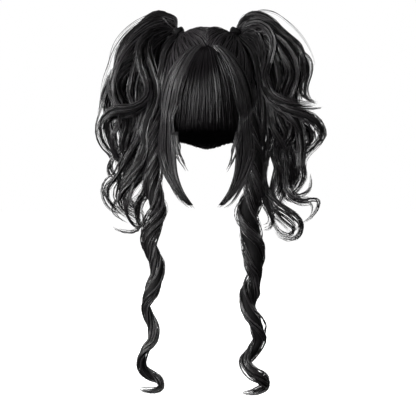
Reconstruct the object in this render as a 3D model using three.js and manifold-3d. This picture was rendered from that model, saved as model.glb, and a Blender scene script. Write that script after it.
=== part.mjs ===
// A pigtail wig: a thin stretch cap, hair combed over it from a centre parting up to two high ties,
// a straight fringe, face-framing locks, two curled pigtails and two spiral tendrils.
// Millimetres, +Z up, the face opening towards -Y, the wearer's right hand on the -X side.
// The origin is on the inside of the cap's crown, where the top of the head touches it.
import * as THREE from 'three';
import { mergeVertices } from 'three/addons/utils/BufferGeometryUtils.js';
import Module from 'manifold-3d';

const wasm = await Module();
wasm.setup();

// Fit between pieces
const seatGap = 0.3;       // a piece and the seat that is made for it
const layerGap = 0.9;      // one hair layer lying over another

// The hollow for the head: an ellipsoid to its widest level, and a longer one below it
const headWidth = 150;
const headDepth = 190;
const crownRise = 98;      // the widest level up to the crown
const taperDrop = 200;     // the widest level down to where the lower ellipsoid would close

// Cap
const capWall = 2;
const capDrop = 192;       // the crown down to the edge at the nape
// turn: degrees round from the face, drop: the edge below the crown as a share of capDrop
const capEdge = [
  { turn: 0, drop: 0.38 },
  { turn: 50, drop: 0.52 },
  { turn: 95, drop: 0.76 },
  { turn: 140, drop: 0.95 },
  { turn: 180, drop: 1 },
];

// Hair layer over the cap
const hairTop = 11.5;      // thickness on the crown
const hairSide = 6.5;      // thickness round the sides and back
const hairFront = 3.5;     // thickness under the fringe
const hairEdge = 2.2;      // thickness along the lower edge
const combRib = 1.6;       // depth of the comb ribs
const partingWidth = 1.2;  // the slit between the two sides
const partingDip = 5;      // how far the hair dips towards the parting
const partingSlope = 15;   // how wide that dip is on each side

// Ties
const tieLean = 31;        // degrees from the vertical
const tieLift = 9.5;       // the hair under the tie up to the tie's middle
const tieLength = 11;
const tieRadius = 13;
const neckRadius = 7.5;    // the gathered hair inside the tie
const neckFlare = 17;      // the gathered hair where it meets the crown
const tieWraps = 3;
const tieGroove = 2;       // depth of the grooves between the wraps

// Fringe
const fringeRoot = 35;     // the crown down to the point where it fans out
const fringeDrop = 178;    // the crown down to its cut edge
const fringeHalf = 52;     // half its width at the cut edge
const fringeThickness = 6;
const fringeRib = 1.5;
const fringeRootHalf = 4;
const fringeStep = 1.8;    // unevenness of the cut edge

// Side locks: share columns of sideDrop, sideHalf and sideForward
const sideDrop = 304;      // the crown down to the tip
const sideHalf = 86;       // the widest reach from the middle
const sideForward = 98;    // how far the tip lies in front of the middle
const sideThickness = 6.5;
const sideRib = 1.2;
const sideStart = 4;       // how far below the fringe's root it starts
const sideRows = [
  { drop: 0.5, inner: 0.64, outer: 0.92, innerForward: 0.8, outerForward: 0.44 },
  { drop: 0.58, inner: 0.62, outer: 0.93, innerForward: 0.82, outerForward: 0.5 },
  { drop: 0.66, inner: 0.61, outer: 0.92, innerForward: 0.86, outerForward: 0.56 },
  { drop: 0.74, inner: 0.595, outer: 0.88, innerForward: 0.9, outerForward: 0.66 },
  { drop: 0.82, inner: 0.56, outer: 0.78, innerForward: 0.94, outerForward: 0.78 },
  { drop: 0.9, inner: 0.47, outer: 0.6, innerForward: 0.97, outerForward: 0.9 },
  { drop: 0.96, inner: 0.34, outer: 0.42, innerForward: 1, outerForward: 0.97 },
  { drop: 1, inner: 0.225, outer: 0.24, innerForward: 1, outerForward: 1 },
];

// Cheek locks, which leave the side locks' inner edge. drop: share of cheekDrop, apart: share of
// cheekApart, width: share of cheekWidth
const cheekDrop = 246;     // the crown down to the tip
const cheekApart = 14;     // the tip's distance from the side lock
const cheekWidth = 5;
const cheekThickness = 3;
const cheekSeat = 0.8;     // how deep the side lock's edge is set into its width before the fit is cut
const cheekRows = [
  { drop: 0.745, apart: 0, width: 0.8 },
  { drop: 0.8, apart: 0, width: 1 },
  { drop: 0.87, apart: 0.2, width: 1 },
  { drop: 0.94, apart: 0.55, width: 0.7 },
  { drop: 1, apart: 1, width: 0.15 },
];

// Tendrils
const tendrilDrop = 618;   // the crown down to the tip
const tendrilReach = 100;  // how far out the middle line swings
const tendrilForward = 46; // how far in front of the middle it hangs
const tendrilWidth = 31;
const tendrilThickness = 21;
const tendrilRoot = 98;    // the crown down to the root
const tendrilRootWidth = 0.3; // share of its width that the root has
const tendrilTurn = 68;    // degrees round from the face to the root
// The bends, inwards and outwards by turns. drop: share of tendrilDrop, out: share of tendrilReach,
// width: share of tendrilWidth
const tendrilBends = {
  left: [
    { drop: 0.33, out: 0.95, width: 0.9 },
    { drop: 0.485, out: 0.86, width: 1.15 },
    { drop: 0.56, out: 1.01, width: 0.9 },
    { drop: 0.65, out: 0.86, width: 0.8 },
    { drop: 0.757, out: 1.015, width: 0.65 },
    { drop: 0.832, out: 0.875, width: 0.55 },
    { drop: 0.904, out: 1.11, width: 0.55 },
    { drop: 0.97, out: 0.8, width: 0.45 },
    { drop: 0.985, out: 1.09, width: 0.1 },
  ],
  right: [
    { drop: 0.33, out: 0.82, width: 0.9 },
    { drop: 0.487, out: 0.705, width: 1.15 },
    { drop: 0.615, out: 0.815, width: 1.05 },
    { drop: 0.747, out: 0.69, width: 0.8 },
    { drop: 0.838, out: 0.88, width: 0.7 },
    { drop: 0.909, out: 0.66, width: 0.62 },
    { drop: 0.966, out: 0.965, width: 0.5 },
    { drop: 0.99, out: 0.59, width: 0.1 },
  ],
};

// Pigtails, measured from the middle of their tie
const tailReach = 134;     // the outermost locks
const tailInner = 47;      // the locks beside the head
const tailRise = 22;       // the crest above the tie
const tailDrop = 348;      // the lowest tips below the tie
const tailHalfDepth = 58;
const tailWave = 15;       // swing of the curls
const tailWaveLength = 98;
const tailLockWidth = 36;
const tailLockThickness = 19;
const tailRootSpread = 0.42; // how far over the neck's radius the roots of the locks spread
const tailTaper = 0.78;    // share of a lock's length that keeps its full breadth
// The way down a pigtail: out and down are for the inner and the outermost locks, as shares of
// tailInner, tailReach and tailDrop, rise as a share of tailRise, and spread of tailHalfDepth
const tailWay = [
  { innerOut: 0.24, outerOut: 0.23, innerRise: 0.5, outerRise: 1, innerDown: 0, outerDown: 0, spread: 0.32 },
  { innerOut: 0.66, outerOut: 0.56, innerRise: 0, outerRise: 0, innerDown: 0.08, outerDown: 0, spread: 0.66 },
  { innerOut: 0.96, outerOut: 0.8, innerRise: 0, outerRise: 0, innerDown: 0.24, outerDown: 0.16, spread: 0.92 },
  { innerOut: 1.06, outerOut: 0.94, innerRise: 0, outerRise: 0, innerDown: 0.47, outerDown: 0.42, spread: 1 },
  { innerOut: 1.06, outerOut: 0.89, innerRise: 0, outerRise: 0, innerDown: 0.72, outerDown: 0.7, spread: 0.9 },
  { innerOut: 1.2, outerOut: 0.72, innerRise: 0, outerRise: 0, innerDown: 1, outerDown: 1, spread: 0.66 },
];
// fan: 0 beside the head to 1 outermost, depth: -1 in front to 1 behind, length: share of the way down,
// wave: share of tailWave, phase: share of a wave, width: share of tailLockWidth
const tailLocks = {
  left: [
    { fan: 1, depth: -0.1, length: 0.84, wave: 1, phase: 0.75, width: 1 },
    { fan: 0.82, depth: -0.75, length: 0.95, wave: 1, phase: 0.86, width: 1 },
    { fan: 0.46, depth: -1, length: 0.92, wave: 1, phase: 0.12, width: 1 },
    { fan: 0.9, depth: 0.65, length: 0.94, wave: 1, phase: 0.68, width: 1 },
    { fan: 0.5, depth: 1, length: 1, wave: 1, phase: 0.2, width: 1 },
    { fan: 0.12, depth: 0.75, length: 0.9, wave: 0.6, phase: 0.5, width: 1.1 },
    { fan: 0.1, depth: -0.5, length: 0.86, wave: 0.5, phase: 0.1, width: 1.1 },
    { fan: 0.66, depth: -0.2, length: 1, wave: 1.1, phase: 0.95, width: 0.9 },
    { fan: 0.32, depth: 0.1, length: 1, wave: 0.9, phase: 0.6, width: 1 },
  ],
  right: [
    { fan: 1, depth: -0.05, length: 0.82, wave: 1, phase: 0.74, width: 1 },
    { fan: 0.82, depth: -0.75, length: 0.92, wave: 1, phase: 0.66, width: 1 },
    { fan: 0.46, depth: -1, length: 1, wave: 1, phase: 0.3, width: 1 },
    { fan: 0.92, depth: 0.65, length: 0.9, wave: 1, phase: 0.6, width: 1 },
    { fan: 0.52, depth: 1, length: 1, wave: 1, phase: 0.9, width: 1 },
    { fan: 0.1, depth: 0.75, length: 0.96, wave: 0.6, phase: 0.45, width: 1.1 },
    { fan: 0.06, depth: -0.4, length: 1, wave: 0.6, phase: 0.5, width: 1.1 },
    { fan: 0.7, depth: 0.15, length: 1, wave: 1.1, phase: 0.15, width: 0.9 },
    { fan: 0.34, depth: 0.1, length: 1, wave: 0.9, phase: 0.7, width: 1 },
  ],
};
const coreFill = 0.8;      // how much of a pigtail's breadth is solid under its locks
const coreLength = 0.62;   // how far down that solid middle reaches

// Mesh fineness
const capAround = 28;
const capSteps = 6;
const combAround = 38;
const partingRows = 18;    // how many of them start along the parting
const curtainRows = 7;
const fringeStrips = 21;
const fringeSteps = 7;
const sideStrips = 5;
const cheekSides = 6;
const cheekSteps = 7;
const lockSides = 5;
const lockSteps = 12;
const coreSides = 8;
const coreSteps = 8;
const tendrilSides = 6;
const rootSteps = 4;
const bendSteps = 5;
const tieSides = 12;
const wrapSteps = 2;

const sides = { left: -1, right: 1 };

const hairMaterial = new THREE.MeshStandardMaterial({ color: 0x1c1a1c, roughness: 0.42, metalness: 0 });
const tieMaterial = new THREE.MeshStandardMaterial({ color: 0x161416, roughness: 0.5, metalness: 0 });
const capMaterial = new THREE.MeshStandardMaterial({ color: 0x121112, roughness: 0.9, metalness: 0 });

const { lerp, smoothstep, degToRad, radToDeg, clamp } = THREE.MathUtils;

// The closed geometry of the rows of points in positions, turned so that its faces point out
function closedGeometry(positions, index) {
  const at = (i) => new THREE.Vector3(...positions.slice(3 * i, 3 * i + 3));
  let volume = 0;
  for (let i = 0; i < index.length; i += 3) {
    volume += at(index[i]).dot(at(index[i + 1]).cross(at(index[i + 2])));
  }
  const facing = volume < 0 ? index.slice().reverse() : index;
  const geometry = new THREE.BufferGeometry();
  geometry.setAttribute('position', new THREE.Float32BufferAttribute(positions, 3));
  geometry.setIndex(facing);
  return geometry;
}

// A skin through rings of as many points each, closed by a fan at the first and the last ring
function skin(rings) {
  const around = rings[0].length;
  const positions = rings.flat().flatMap((p) => p.toArray());
  const index = [];
  for (let r = 0; r + 1 < rings.length; r += 1) {
    for (let i = 0; i < around; i += 1) {
      const a = r * around + i;
      const b = r * around + (i + 1) % around;
      index.push(a, b, a + around, b, b + around, a + around);
    }
  }
  const ends = [{ ring: 0, turned: true }, { ring: rings.length - 1, turned: false }];
  for (const { ring, turned } of ends) {
    const middle = rings[ring].reduce((sum, p) => sum.add(p), new THREE.Vector3()).divideScalar(around);
    const hub = positions.push(...middle.toArray()) / 3 - 1;
    for (let i = 0; i < around; i += 1) {
      const a = ring * around + i;
      const b = ring * around + (i + 1) % around;
      index.push(...(turned ? [b, a, hub] : [a, b, hub]));
    }
  }
  return closedGeometry(positions, index);
}

// A slab between two grids of points, grid[row][column], with a wall round its four edges
function slab(outer, inner) {
  const rows = outer.length;
  const columns = outer[0].length;
  const positions = [...outer.flat(), ...inner.flat()].flatMap((p) => p.toArray());
  const under = rows * columns;
  const index = [];
  const quad = (a, b, c, d) => index.push(a, b, c, a, c, d);
  for (let r = 0; r + 1 < rows; r += 1) {
    for (let c = 0; c + 1 < columns; c += 1) {
      const a = r * columns + c;
      quad(a, a + 1, a + columns + 1, a + columns);
      quad(under + a, under + a + columns, under + a + columns + 1, under + a + 1);
    }
  }
  const edge = [];
  for (let c = 0; c < columns; c += 1) edge.push(c);
  for (let r = 1; r < rows; r += 1) edge.push(r * columns + columns - 1);
  for (let c = columns - 2; c >= 0; c -= 1) edge.push((rows - 1) * columns + c);
  for (let r = rows - 2; r > 0; r -= 1) edge.push(r * columns);
  edge.forEach((a, i) => {
    const b = edge[(i + 1) % edge.length];
    quad(b, a, under + a, under + b);
  });
  return closedGeometry(positions, index);
}

function solidOf(geometry) {
  const merged = mergeVertices(geometry, 1e-3);
  return new wasm.Manifold(new wasm.Mesh({
    numProp: 3,
    vertProperties: merged.attributes.position.array,
    triVerts: new Uint32Array(merged.index.array),
  }));
}

function largestBody(solid) {
  return solid.decompose().sort((a, b) => b.volume() - a.volume())[0];
}

function geometryOf(solid) {
  const mesh = solid.getMesh();
  const geometry = new THREE.BufferGeometry();
  geometry.setAttribute('position', new THREE.BufferAttribute(mesh.vertProperties, 3));
  geometry.setIndex(new THREE.BufferAttribute(mesh.triVerts, 1));
  return geometry;
}

// The point of the head's hollow in a direction from its middle, moved out by a distance
function onHead(direction, out) {
  const rise = direction.z > 0 ? crownRise : taperDrop;
  return new THREE.Vector3(
    direction.x * (headWidth / 2 + out),
    direction.y * (headDepth / 2 + out),
    direction.z * (rise + out) - crownRise,
  );
}

// The direction whose point of the head has that height below the crown, turned round from the face
function levelDirection(turn, drop) {
  const up = drop < crownRise ? (crownRise - drop) / crownRise : (crownRise - drop) / taperDrop;
  const flat = Math.sqrt(1 - up * up);
  return new THREE.Vector3(Math.sin(turn) * flat, -Math.cos(turn) * flat, up);
}

function capEdgeDrop(turn) {
  const degrees = radToDeg(turn);
  const next = Math.max(1, capEdge.findIndex((row) => row.turn >= degrees - 1e-6));
  const [from, to] = [capEdge[next - 1], capEdge[next]];
  return capDrop * lerp(from.drop, to.drop, smoothstep(degrees, from.turn, to.turn));
}

// The direction of a point in front of the head, from its reach to the side and its drop below the crown
function frontDirection(x, drop) {
  const stand = capWall + hairSide + layerGap;
  const rise = drop < crownRise ? crownRise : taperDrop;
  const nx = x / (headWidth / 2 + stand);
  const nz = (crownRise - drop) / (rise + stand);
  return new THREE.Vector3(nx, -Math.sqrt(Math.max(0.02, 1 - nx * nx - nz * nz)), nz).normalize();
}

// How far the hair layer's outside lies from the head, away from its edges, ribs and parting
function hairOut(direction) {
  const top = smoothstep(direction.z, 0.35, 0.95);
  const front = smoothstep(-direction.y, 0.35, 0.8) * (1 - top);
  return capWall + seatGap + lerp(lerp(hairSide, hairFront, front), hairTop, top);
}

function slerp(from, to, share) {
  const angle = from.angleTo(to);
  const a = Math.sin((1 - share) * angle) / Math.sin(angle);
  const b = Math.sin(share * angle) / Math.sin(angle);
  return from.clone().multiplyScalar(a).addScaledVector(to, b);
}

// The cap's surface, moved out by a distance: rings from the crown down, the last of them at its edge
function capRings(out, stepsDown) {
  const top = new THREE.Vector3(0, 0, 1);
  const rings = [];
  for (let step = 0; step <= stepsDown; step += 1) {
    const ring = [];
    for (let i = 0; i < capAround; i += 1) {
      const turn = 2 * Math.PI * i / capAround;
      const edge = levelDirection(turn, capEdgeDrop(turn > Math.PI ? 2 * Math.PI - turn : turn));
      ring.push(onHead(slerp(top, edge, step / capSteps), out));
    }
    rings.push(ring);
  }
  return rings;
}

function makeCap() {
  return solidOf(skin([...capRings(capWall, capSteps), ...capRings(0, capSteps).reverse()]));
}

// The cap with the room inside it filled, and a little more below its edge
function makeCapBlock(out) {
  return solidOf(skin(capRings(capWall + out, capSteps + 1)));
}

// The whole head with its combed hair, moved out by a distance
function makeHairBlock(out) {
  const rings = capRings(0, capSteps + 1).map((ring) => ring.map((point) => {
    const up = point.z + crownRise;
    const way = new THREE.Vector3(
      point.x / (headWidth / 2),
      point.y / (headDepth / 2),
      up / (up > 0 ? crownRise : taperDrop),
    );
    return onHead(way, hairOut(way) + out);
  }));
  return solidOf(skin(rings));
}

// A tie's middle and the way its pigtail leaves it
function tiePlace(side) {
  const lean = degToRad(tieLean);
  const direction = new THREE.Vector3(sides[side] * Math.sin(lean), 0, Math.cos(lean));
  const seat = onHead(direction, hairOut(direction));
  return { axis: direction, seat, middle: seat.clone().addScaledVector(direction, tieLift) };
}

// Two directions square to an axis, the first of them pointing as far outwards as it can
function squareTo(axis, outwards) {
  const first = outwards.clone().addScaledVector(axis, -outwards.dot(axis)).normalize();
  return [first, new THREE.Vector3().crossVectors(axis, first)];
}

// Where the combed hair of one side starts: along the parting from nape to face, then round the cap's edge
function combStarts(side) {
  const starts = [];
  const face = levelDirection(0, capEdgeDrop(0));
  const nape = levelDirection(Math.PI, capEdgeDrop(Math.PI));
  const faceAngle = Math.atan2(-face.y, face.z);
  const napeAngle = Math.atan2(-nape.y, nape.z);
  for (let i = 0; i < partingRows; i += 1) {
    const angle = lerp(napeAngle, faceAngle, i / partingRows);
    starts.push({ direction: new THREE.Vector3(0, -Math.sin(angle), Math.cos(angle)), onParting: true });
  }
  const edgeRows = combAround - partingRows;
  for (let i = 0; i < edgeRows; i += 1) {
    const turn = lerp(0, Math.PI, i / edgeRows);
    const direction = levelDirection(turn, capEdgeDrop(turn));
    direction.x *= sides[side];
    starts.push({ direction, onParting: i === 0 });
  }
  return starts;
}

function makeCrown(side) {
  const { axis, seat, middle } = tiePlace(side);
  const starts = combStarts(side);
  const [outwards, across] = squareTo(axis, new THREE.Vector3(sides[side], 0, 0));
  const neckRing = (centre, radius) => starts.map(({ direction }) => {
    const away = onHead(direction, 0).sub(seat);
    const angle = Math.atan2(away.dot(across), away.dot(outwards));
    return centre.clone()
      .addScaledVector(outwards, radius * Math.cos(angle))
      .addScaledVector(across, radius * Math.sin(angle));
  });
  const headRadius = (headWidth + headDepth) / 4;
  const outsideShares = [0.84, 0.62, 0.38, 0.16, 0];
  const insideShares = [0, 0.35, 0.7];
  const skinRing = (share, outside) => starts.map(({ direction, onParting }, i) => {
    const way = slerp(direction, axis, share);
    const slit = sides[side] * partingWidth / 2 * (1 - share);
    let out = -capWall;
    if (outside) {
      const reach = share * direction.angleTo(axis) * headRadius;
      const dip = onParting ? partingDip * (1 - smoothstep(reach, 0, partingSlope)) : 0;
      const edge = onParting ? 1 : smoothstep(reach, 0, partingSlope);
      const rib = i % 2 ? combRib * smoothstep(share, 0, 0.2) : 0;
      out = lerp(capWall + seatGap + hairEdge, hairOut(way) - dip, edge) - rib;
    }
    return onHead(way, out).add(new THREE.Vector3(slit, 0, 0));
  });
  const under = middle.clone().addScaledVector(axis, -tieLength / 2 - seatGap);
  const rings = [
    neckRing(middle.clone().addScaledVector(axis, -seatGap), neckRadius),
    neckRing(under, neckRadius),
    neckRing(seat.clone().addScaledVector(axis, seatGap), neckFlare * 0.7),
    neckRing(seat.clone().addScaledVector(axis, -combRib * 2), neckFlare),
    ...outsideShares.map((share) => skinRing(share, true)),
    ...insideShares.map((share) => skinRing(share, false)),
  ];
  return solidOf(skin(rings)).subtract(makeCapBlock(seatGap));
}

// The ring round a pigtail's root, its faces moved out by a distance
function makeTie(side, grow = 0) {
  const { axis, middle } = tiePlace(side);
  const profile = [];
  const hole = (neckRadius + seatGap) / Math.cos(Math.PI / tieSides) - grow;
  const length = tieLength + 2 * grow;
  const steps = tieWraps * wrapSteps;
  for (let i = 0; i <= steps; i += 1) {
    const bulge = Math.abs(Math.sin(Math.PI * i / wrapSteps));
    profile.push(new THREE.Vector2(tieRadius - tieGroove * (1 - bulge) + grow, length * (i / steps - 0.5)));
  }
  profile.unshift(new THREE.Vector2(hole, -length / 2));
  profile.push(new THREE.Vector2(hole, length / 2), new THREE.Vector2(hole, -length / 2));
  const geometry = new THREE.LatheGeometry(profile, tieSides);
  geometry.deleteAttribute('normal');
  geometry.deleteAttribute('uv');
  const turn = new THREE.Quaternion().setFromUnitVectors(new THREE.Vector3(0, 1, 0), axis);
  geometry.applyQuaternion(turn).translate(...middle.toArray());
  const merged = mergeVertices(geometry, 1e-3);
  return solidOf(closedGeometry([...merged.attributes.position.array], [...merged.index.array]));
}

// How far the fringe's outermost hair lies from the middle at a drop below the crown
function fringeReach(drop) {
  const share = clamp((drop - fringeRoot) / (fringeDrop - fringeRoot), 0, 1);
  return fringeRootHalf + (fringeHalf - fringeRootHalf) * Math.sin(Math.PI / 2 * share ** 0.75);
}

// The fringe, its faces moved out by a distance
function makeFringe(grow = 0) {
  const outer = [];
  const inner = [];
  for (let j = 0; j <= fringeSteps; j += 1) {
    const share = j / fringeSteps;
    const body = smoothstep(share, -0.1, 0.25);
    const outerRow = [];
    const innerRow = [];
    for (let i = 0; i < fringeStrips; i += 1) {
      const across = 2 * i / (fringeStrips - 1) - 1;
      const cut = share === 1 && i % 2 ? fringeStep : 0;
      const drop = lerp(fringeRoot - grow, fringeDrop + grow, share) - cut;
      const way = frontDirection(across * (fringeReach(drop) + grow), drop);
      const under = hairOut(way) + layerGap;
      const rib = i % 2 ? fringeRib * body : 0;
      innerRow.push(onHead(way, under - grow));
      outerRow.push(onHead(way, under + fringeThickness * lerp(0.35, 1, body) - rib + grow));
    }
    outer.push(outerRow);
    inner.push(innerRow);
  }
  return solidOf(slab(outer, inner));
}

// The outer edge of a side lock where it still lies on the head: a quarter ellipse out from its root
function curtainReach(drop) {
  const fall = clamp((drop - fringeRoot) / (sideDrop * sideRows[0].drop - fringeRoot), 0, 1);
  return fringeRootHalf + (sideHalf * sideRows[0].outer - fringeRootHalf) * Math.sin(Math.acos(1 - fall));
}

// A side lock before its cuts, its faces moved out by a distance
function sideLockBlock(side, grow = 0) {
  const rows = [];
  for (let j = 0; j < curtainRows; j += 1) {
    const drop = lerp(fringeRoot + sideStart, sideDrop * sideRows[0].drop, (j / curtainRows) ** 1.5);
    rows.push({ drop, inner: fringeReach(drop) + layerGap, outer: curtainReach(drop), held: true });
  }
  for (const row of sideRows) {
    rows.push({
      drop: row.drop * sideDrop,
      inner: row.inner * sideHalf,
      outer: row.outer * sideHalf,
      innerForward: row.innerForward * sideForward,
      outerForward: row.outerForward * sideForward,
    });
  }
  const inner = rows.map((row) => {
    const points = [];
    for (let i = 0; i < sideStrips; i += 1) {
      const share = i / (sideStrips - 1);
      const x = sides[side] * lerp(row.inner - grow, row.outer + grow, share);
      const way = frontDirection(x, row.drop);
      const forward = lerp(row.innerForward, row.outerForward, share);
      points.push(row.held ? onHead(way, hairOut(way) + layerGap) : new THREE.Vector3(x, -forward, -row.drop));
    }
    return points;
  });
  const last = inner.length - 1;
  const outer = inner.map((points, j) => points.map((point, i) => {
    const along = inner[Math.min(j + 1, last)][i].clone().sub(inner[Math.max(j - 1, 0)][i]);
    const over = points[Math.min(i + 1, sideStrips - 1)].clone().sub(points[Math.max(i - 1, 0)]);
    const normal = over.cross(along).normalize().multiplyScalar(-sides[side]);
    const body = Math.min(1, 0.3 + j / 4, 0.25 + (last - j) / 3);
    const rib = i % 2 ? sideRib : 0;
    const top = point.clone().addScaledVector(normal, sideThickness * body - rib * body + grow);
    point.addScaledVector(normal, -grow);
    return top;
  }));
  return solidOf(slab(outer, inner));
}

function makeSideLock(side) {
  const cutters = [makeFringe(seatGap), makeTendril(side, layerGap), makeHairBlock(seatGap)];
  return largestBody(cutters.reduce((left, cutter) => left.subtract(cutter), sideLockBlock(side)));
}

// A flat lock with round edges along a way of points: facing says which way its broad side looks at each
function lockSkin(points, facing, widths, thicknesses, sidesRound) {
  const rings = points.map((point, j) => {
    const along = points[Math.min(j + 1, points.length - 1)].clone().sub(points[Math.max(j - 1, 0)]);
    const tangent = along.normalize();
    const out = facing[j].clone().addScaledVector(tangent, -facing[j].dot(tangent)).normalize();
    const over = new THREE.Vector3().crossVectors(tangent, out);
    const ring = [];
    for (let i = 0; i < sidesRound; i += 1) {
      const angle = 2 * Math.PI * i / sidesRound;
      ring.push(point.clone()
        .addScaledVector(over, Math.cos(angle) * widths[j] / 2)
        .addScaledVector(out, Math.sin(angle) * thicknesses[j] / 2));
    }
    return ring;
  });
  return solidOf(skin(rings));
}

// The inner edge of a side lock at a drop below the crown
function sideEdge(drop) {
  const next = sideRows.findIndex((row) => row.drop * sideDrop >= drop);
  const to = clamp(next, 1, sideRows.length - 1);
  const [a, b] = [sideRows[to - 1], sideRows[to]];
  const share = (drop / sideDrop - a.drop) / (b.drop - a.drop);
  return {
    reach: lerp(a.inner, b.inner, share) * sideHalf,
    forward: lerp(a.innerForward, b.innerForward, share) * sideForward,
  };
}

function makeCheekLock(side) {
  const way = new THREE.CatmullRomCurve3(cheekRows.map((row) => {
    const { reach, forward } = sideEdge(row.drop * cheekDrop);
    const inwards = cheekWidth * row.width / 2 + cheekApart * row.apart - cheekSeat;
    return new THREE.Vector3(sides[side] * (reach - inwards), -forward, -row.drop * cheekDrop);
  }));
  const widthAt = (share) => {
    const place = share * (cheekRows.length - 1);
    const row = Math.min(Math.floor(place), cheekRows.length - 2);
    return lerp(cheekRows[row].width, cheekRows[row + 1].width, place - row);
  };
  const shares = Array.from({ length: cheekSteps + 1 }, (_, i) => i / cheekSteps);
  const lock = lockSkin(
    shares.map((share) => way.getPoint(share)),
    shares.map(() => new THREE.Vector3(0, -1, 0)),
    shares.map((share) => cheekWidth * widthAt(share)),
    shares.map((share) => cheekThickness * Math.sqrt(widthAt(share))),
    cheekSides,
  );
  return largestBody(lock.subtract(sideLockBlock(side, seatGap)));
}

// The bend before a drop and how far on to the next one the drop lies
function bendAt(bends, drop) {
  const next = bends.findIndex((row) => row.drop * tendrilDrop >= drop - 1e-6);
  const to = next < 0 ? bends.length - 1 : Math.max(next, 1);
  const [a, b] = [bends[to - 1].drop * tendrilDrop, bends[to].drop * tendrilDrop];
  return { from: to - 1, share: clamp((drop - a) / (b - a), 0, 1) };
}

// A tendril's middle line at a drop: half a turn round its axis from each bend to the next one
function tendrilPlace(side, drop) {
  const bends = tendrilBends[side];
  const { from, share } = bendAt(bends, drop);
  const [a, b] = [bends[from], bends[from + 1]];
  const phase = Math.PI * (from + share);
  const out = tendrilReach * lerp(a.out, b.out, (1 - Math.cos(Math.PI * share)) / 2);
  const swing = tendrilReach * Math.abs(b.out - a.out) / 2;
  const settled = smoothstep(drop, tendrilRoot, bends[0].drop * tendrilDrop);
  const rootWay = levelDirection(degToRad(tendrilTurn), tendrilRoot);
  rootWay.x *= sides[side];
  const root = onHead(rootWay, hairOut(rootWay) + tendrilThickness * tendrilRootWidth / 3);
  const spin = new THREE.Vector3(sides[side] * Math.cos(phase), -Math.sin(phase), 0);
  const hung = new THREE.Vector3(sides[side] * out, -tendrilForward - swing * Math.sin(phase) * settled, 0);
  const middle = root.lerp(hung, settled).setZ(-drop);
  const facing = rootWay.clone().setZ(0).normalize().lerp(spin, settled).normalize();
  const width = lerp(a.width, b.width, share) * lerp(tendrilRootWidth, 1, settled);
  return { middle, facing, width };
}

// A tendril, its faces moved out by a distance
function makeTendril(side, grow = 0) {
  const bends = tendrilBends[side];
  const drops = [];
  for (let j = 0; j < rootSteps; j += 1) {
    drops.push(lerp(tendrilRoot, bends[0].drop * tendrilDrop, j / rootSteps));
  }
  for (let j = 0; j <= bendSteps * (bends.length - 1); j += 1) {
    const from = Math.min(Math.floor(j / bendSteps), bends.length - 2);
    drops.push(tendrilDrop * lerp(bends[from].drop, bends[from + 1].drop, j / bendSteps - from));
  }
  const points = [];
  const facing = [];
  const widths = [];
  const thicknesses = [];
  for (const drop of drops) {
    const place = tendrilPlace(side, drop);
    points.push(place.middle);
    facing.push(place.facing);
    widths.push(tendrilWidth * place.width + 2 * grow);
    thicknesses.push(tendrilThickness * place.width + 2 * grow);
  }
  return lockSkin(points, facing, widths, thicknesses, tendrilSides).subtract(makeHairBlock(seatGap - grow));
}

// The way of one hair of a pigtail, before its waves, as a curve from inside the tie to the tip
function tailCurve(side, fan, depth) {
  const { axis, middle } = tiePlace(side);
  const [outwards, across] = squareTo(axis, new THREE.Vector3(sides[side], 0, 0));
  const behind = across.y > 0 ? across : across.clone().negate();
  const inNeck = (along) => middle.clone()
    .addScaledVector(axis, along)
    .addScaledVector(outwards, neckRadius * tailRootSpread * (2 * fan - 1))
    .addScaledVector(behind, neckRadius * tailRootSpread * depth);
  const points = [inNeck(seatGap), inNeck(tieLength / 2 + seatGap)];
  for (const row of tailWay) {
    const out = lerp(row.innerOut * tailInner, row.outerOut * tailReach, fan);
    const rise = lerp(row.innerRise, row.outerRise, fan) * tailRise;
    const up = rise - lerp(row.innerDown, row.outerDown, fan) * tailDrop;
    points.push(middle.clone().add(new THREE.Vector3(sides[side] * out, row.spread * depth * tailHalfDepth, up)));
  }
  return new THREE.CatmullRomCurve3(points, false, 'centripetal');
}

// The solid middle of a pigtail, an ellipse at each step that spans its breadth and depth
function makeTailCore(side) {
  const lines = {
    inner: tailCurve(side, 0, 0),
    outer: tailCurve(side, 1, 0),
    front: tailCurve(side, 0.5, -1),
    back: tailCurve(side, 0.5, 1),
  };
  const rings = [];
  for (let j = 0; j <= coreSteps; j += 1) {
    const share = coreLength * j / coreSteps;
    const fill = coreFill * Math.sqrt(Math.max(0.02, 1 - smoothstep(j, coreSteps * 0.55, coreSteps)));
    const [inner, outer, front, back] = Object.values(lines).map((line) => line.getPoint(share));
    const middle = inner.clone().add(outer).divideScalar(2);
    const breadth = outer.sub(inner).multiplyScalar(fill / 2);
    const depth = back.sub(front).multiplyScalar(fill / 2);
    const ring = [];
    for (let i = 0; i < coreSides; i += 1) {
      const angle = 2 * Math.PI * i / coreSides;
      ring.push(middle.clone()
        .addScaledVector(breadth, Math.cos(angle))
        .addScaledVector(depth, Math.sin(angle)));
    }
    rings.push(ring);
  }
  return solidOf(skin(rings));
}

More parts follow.
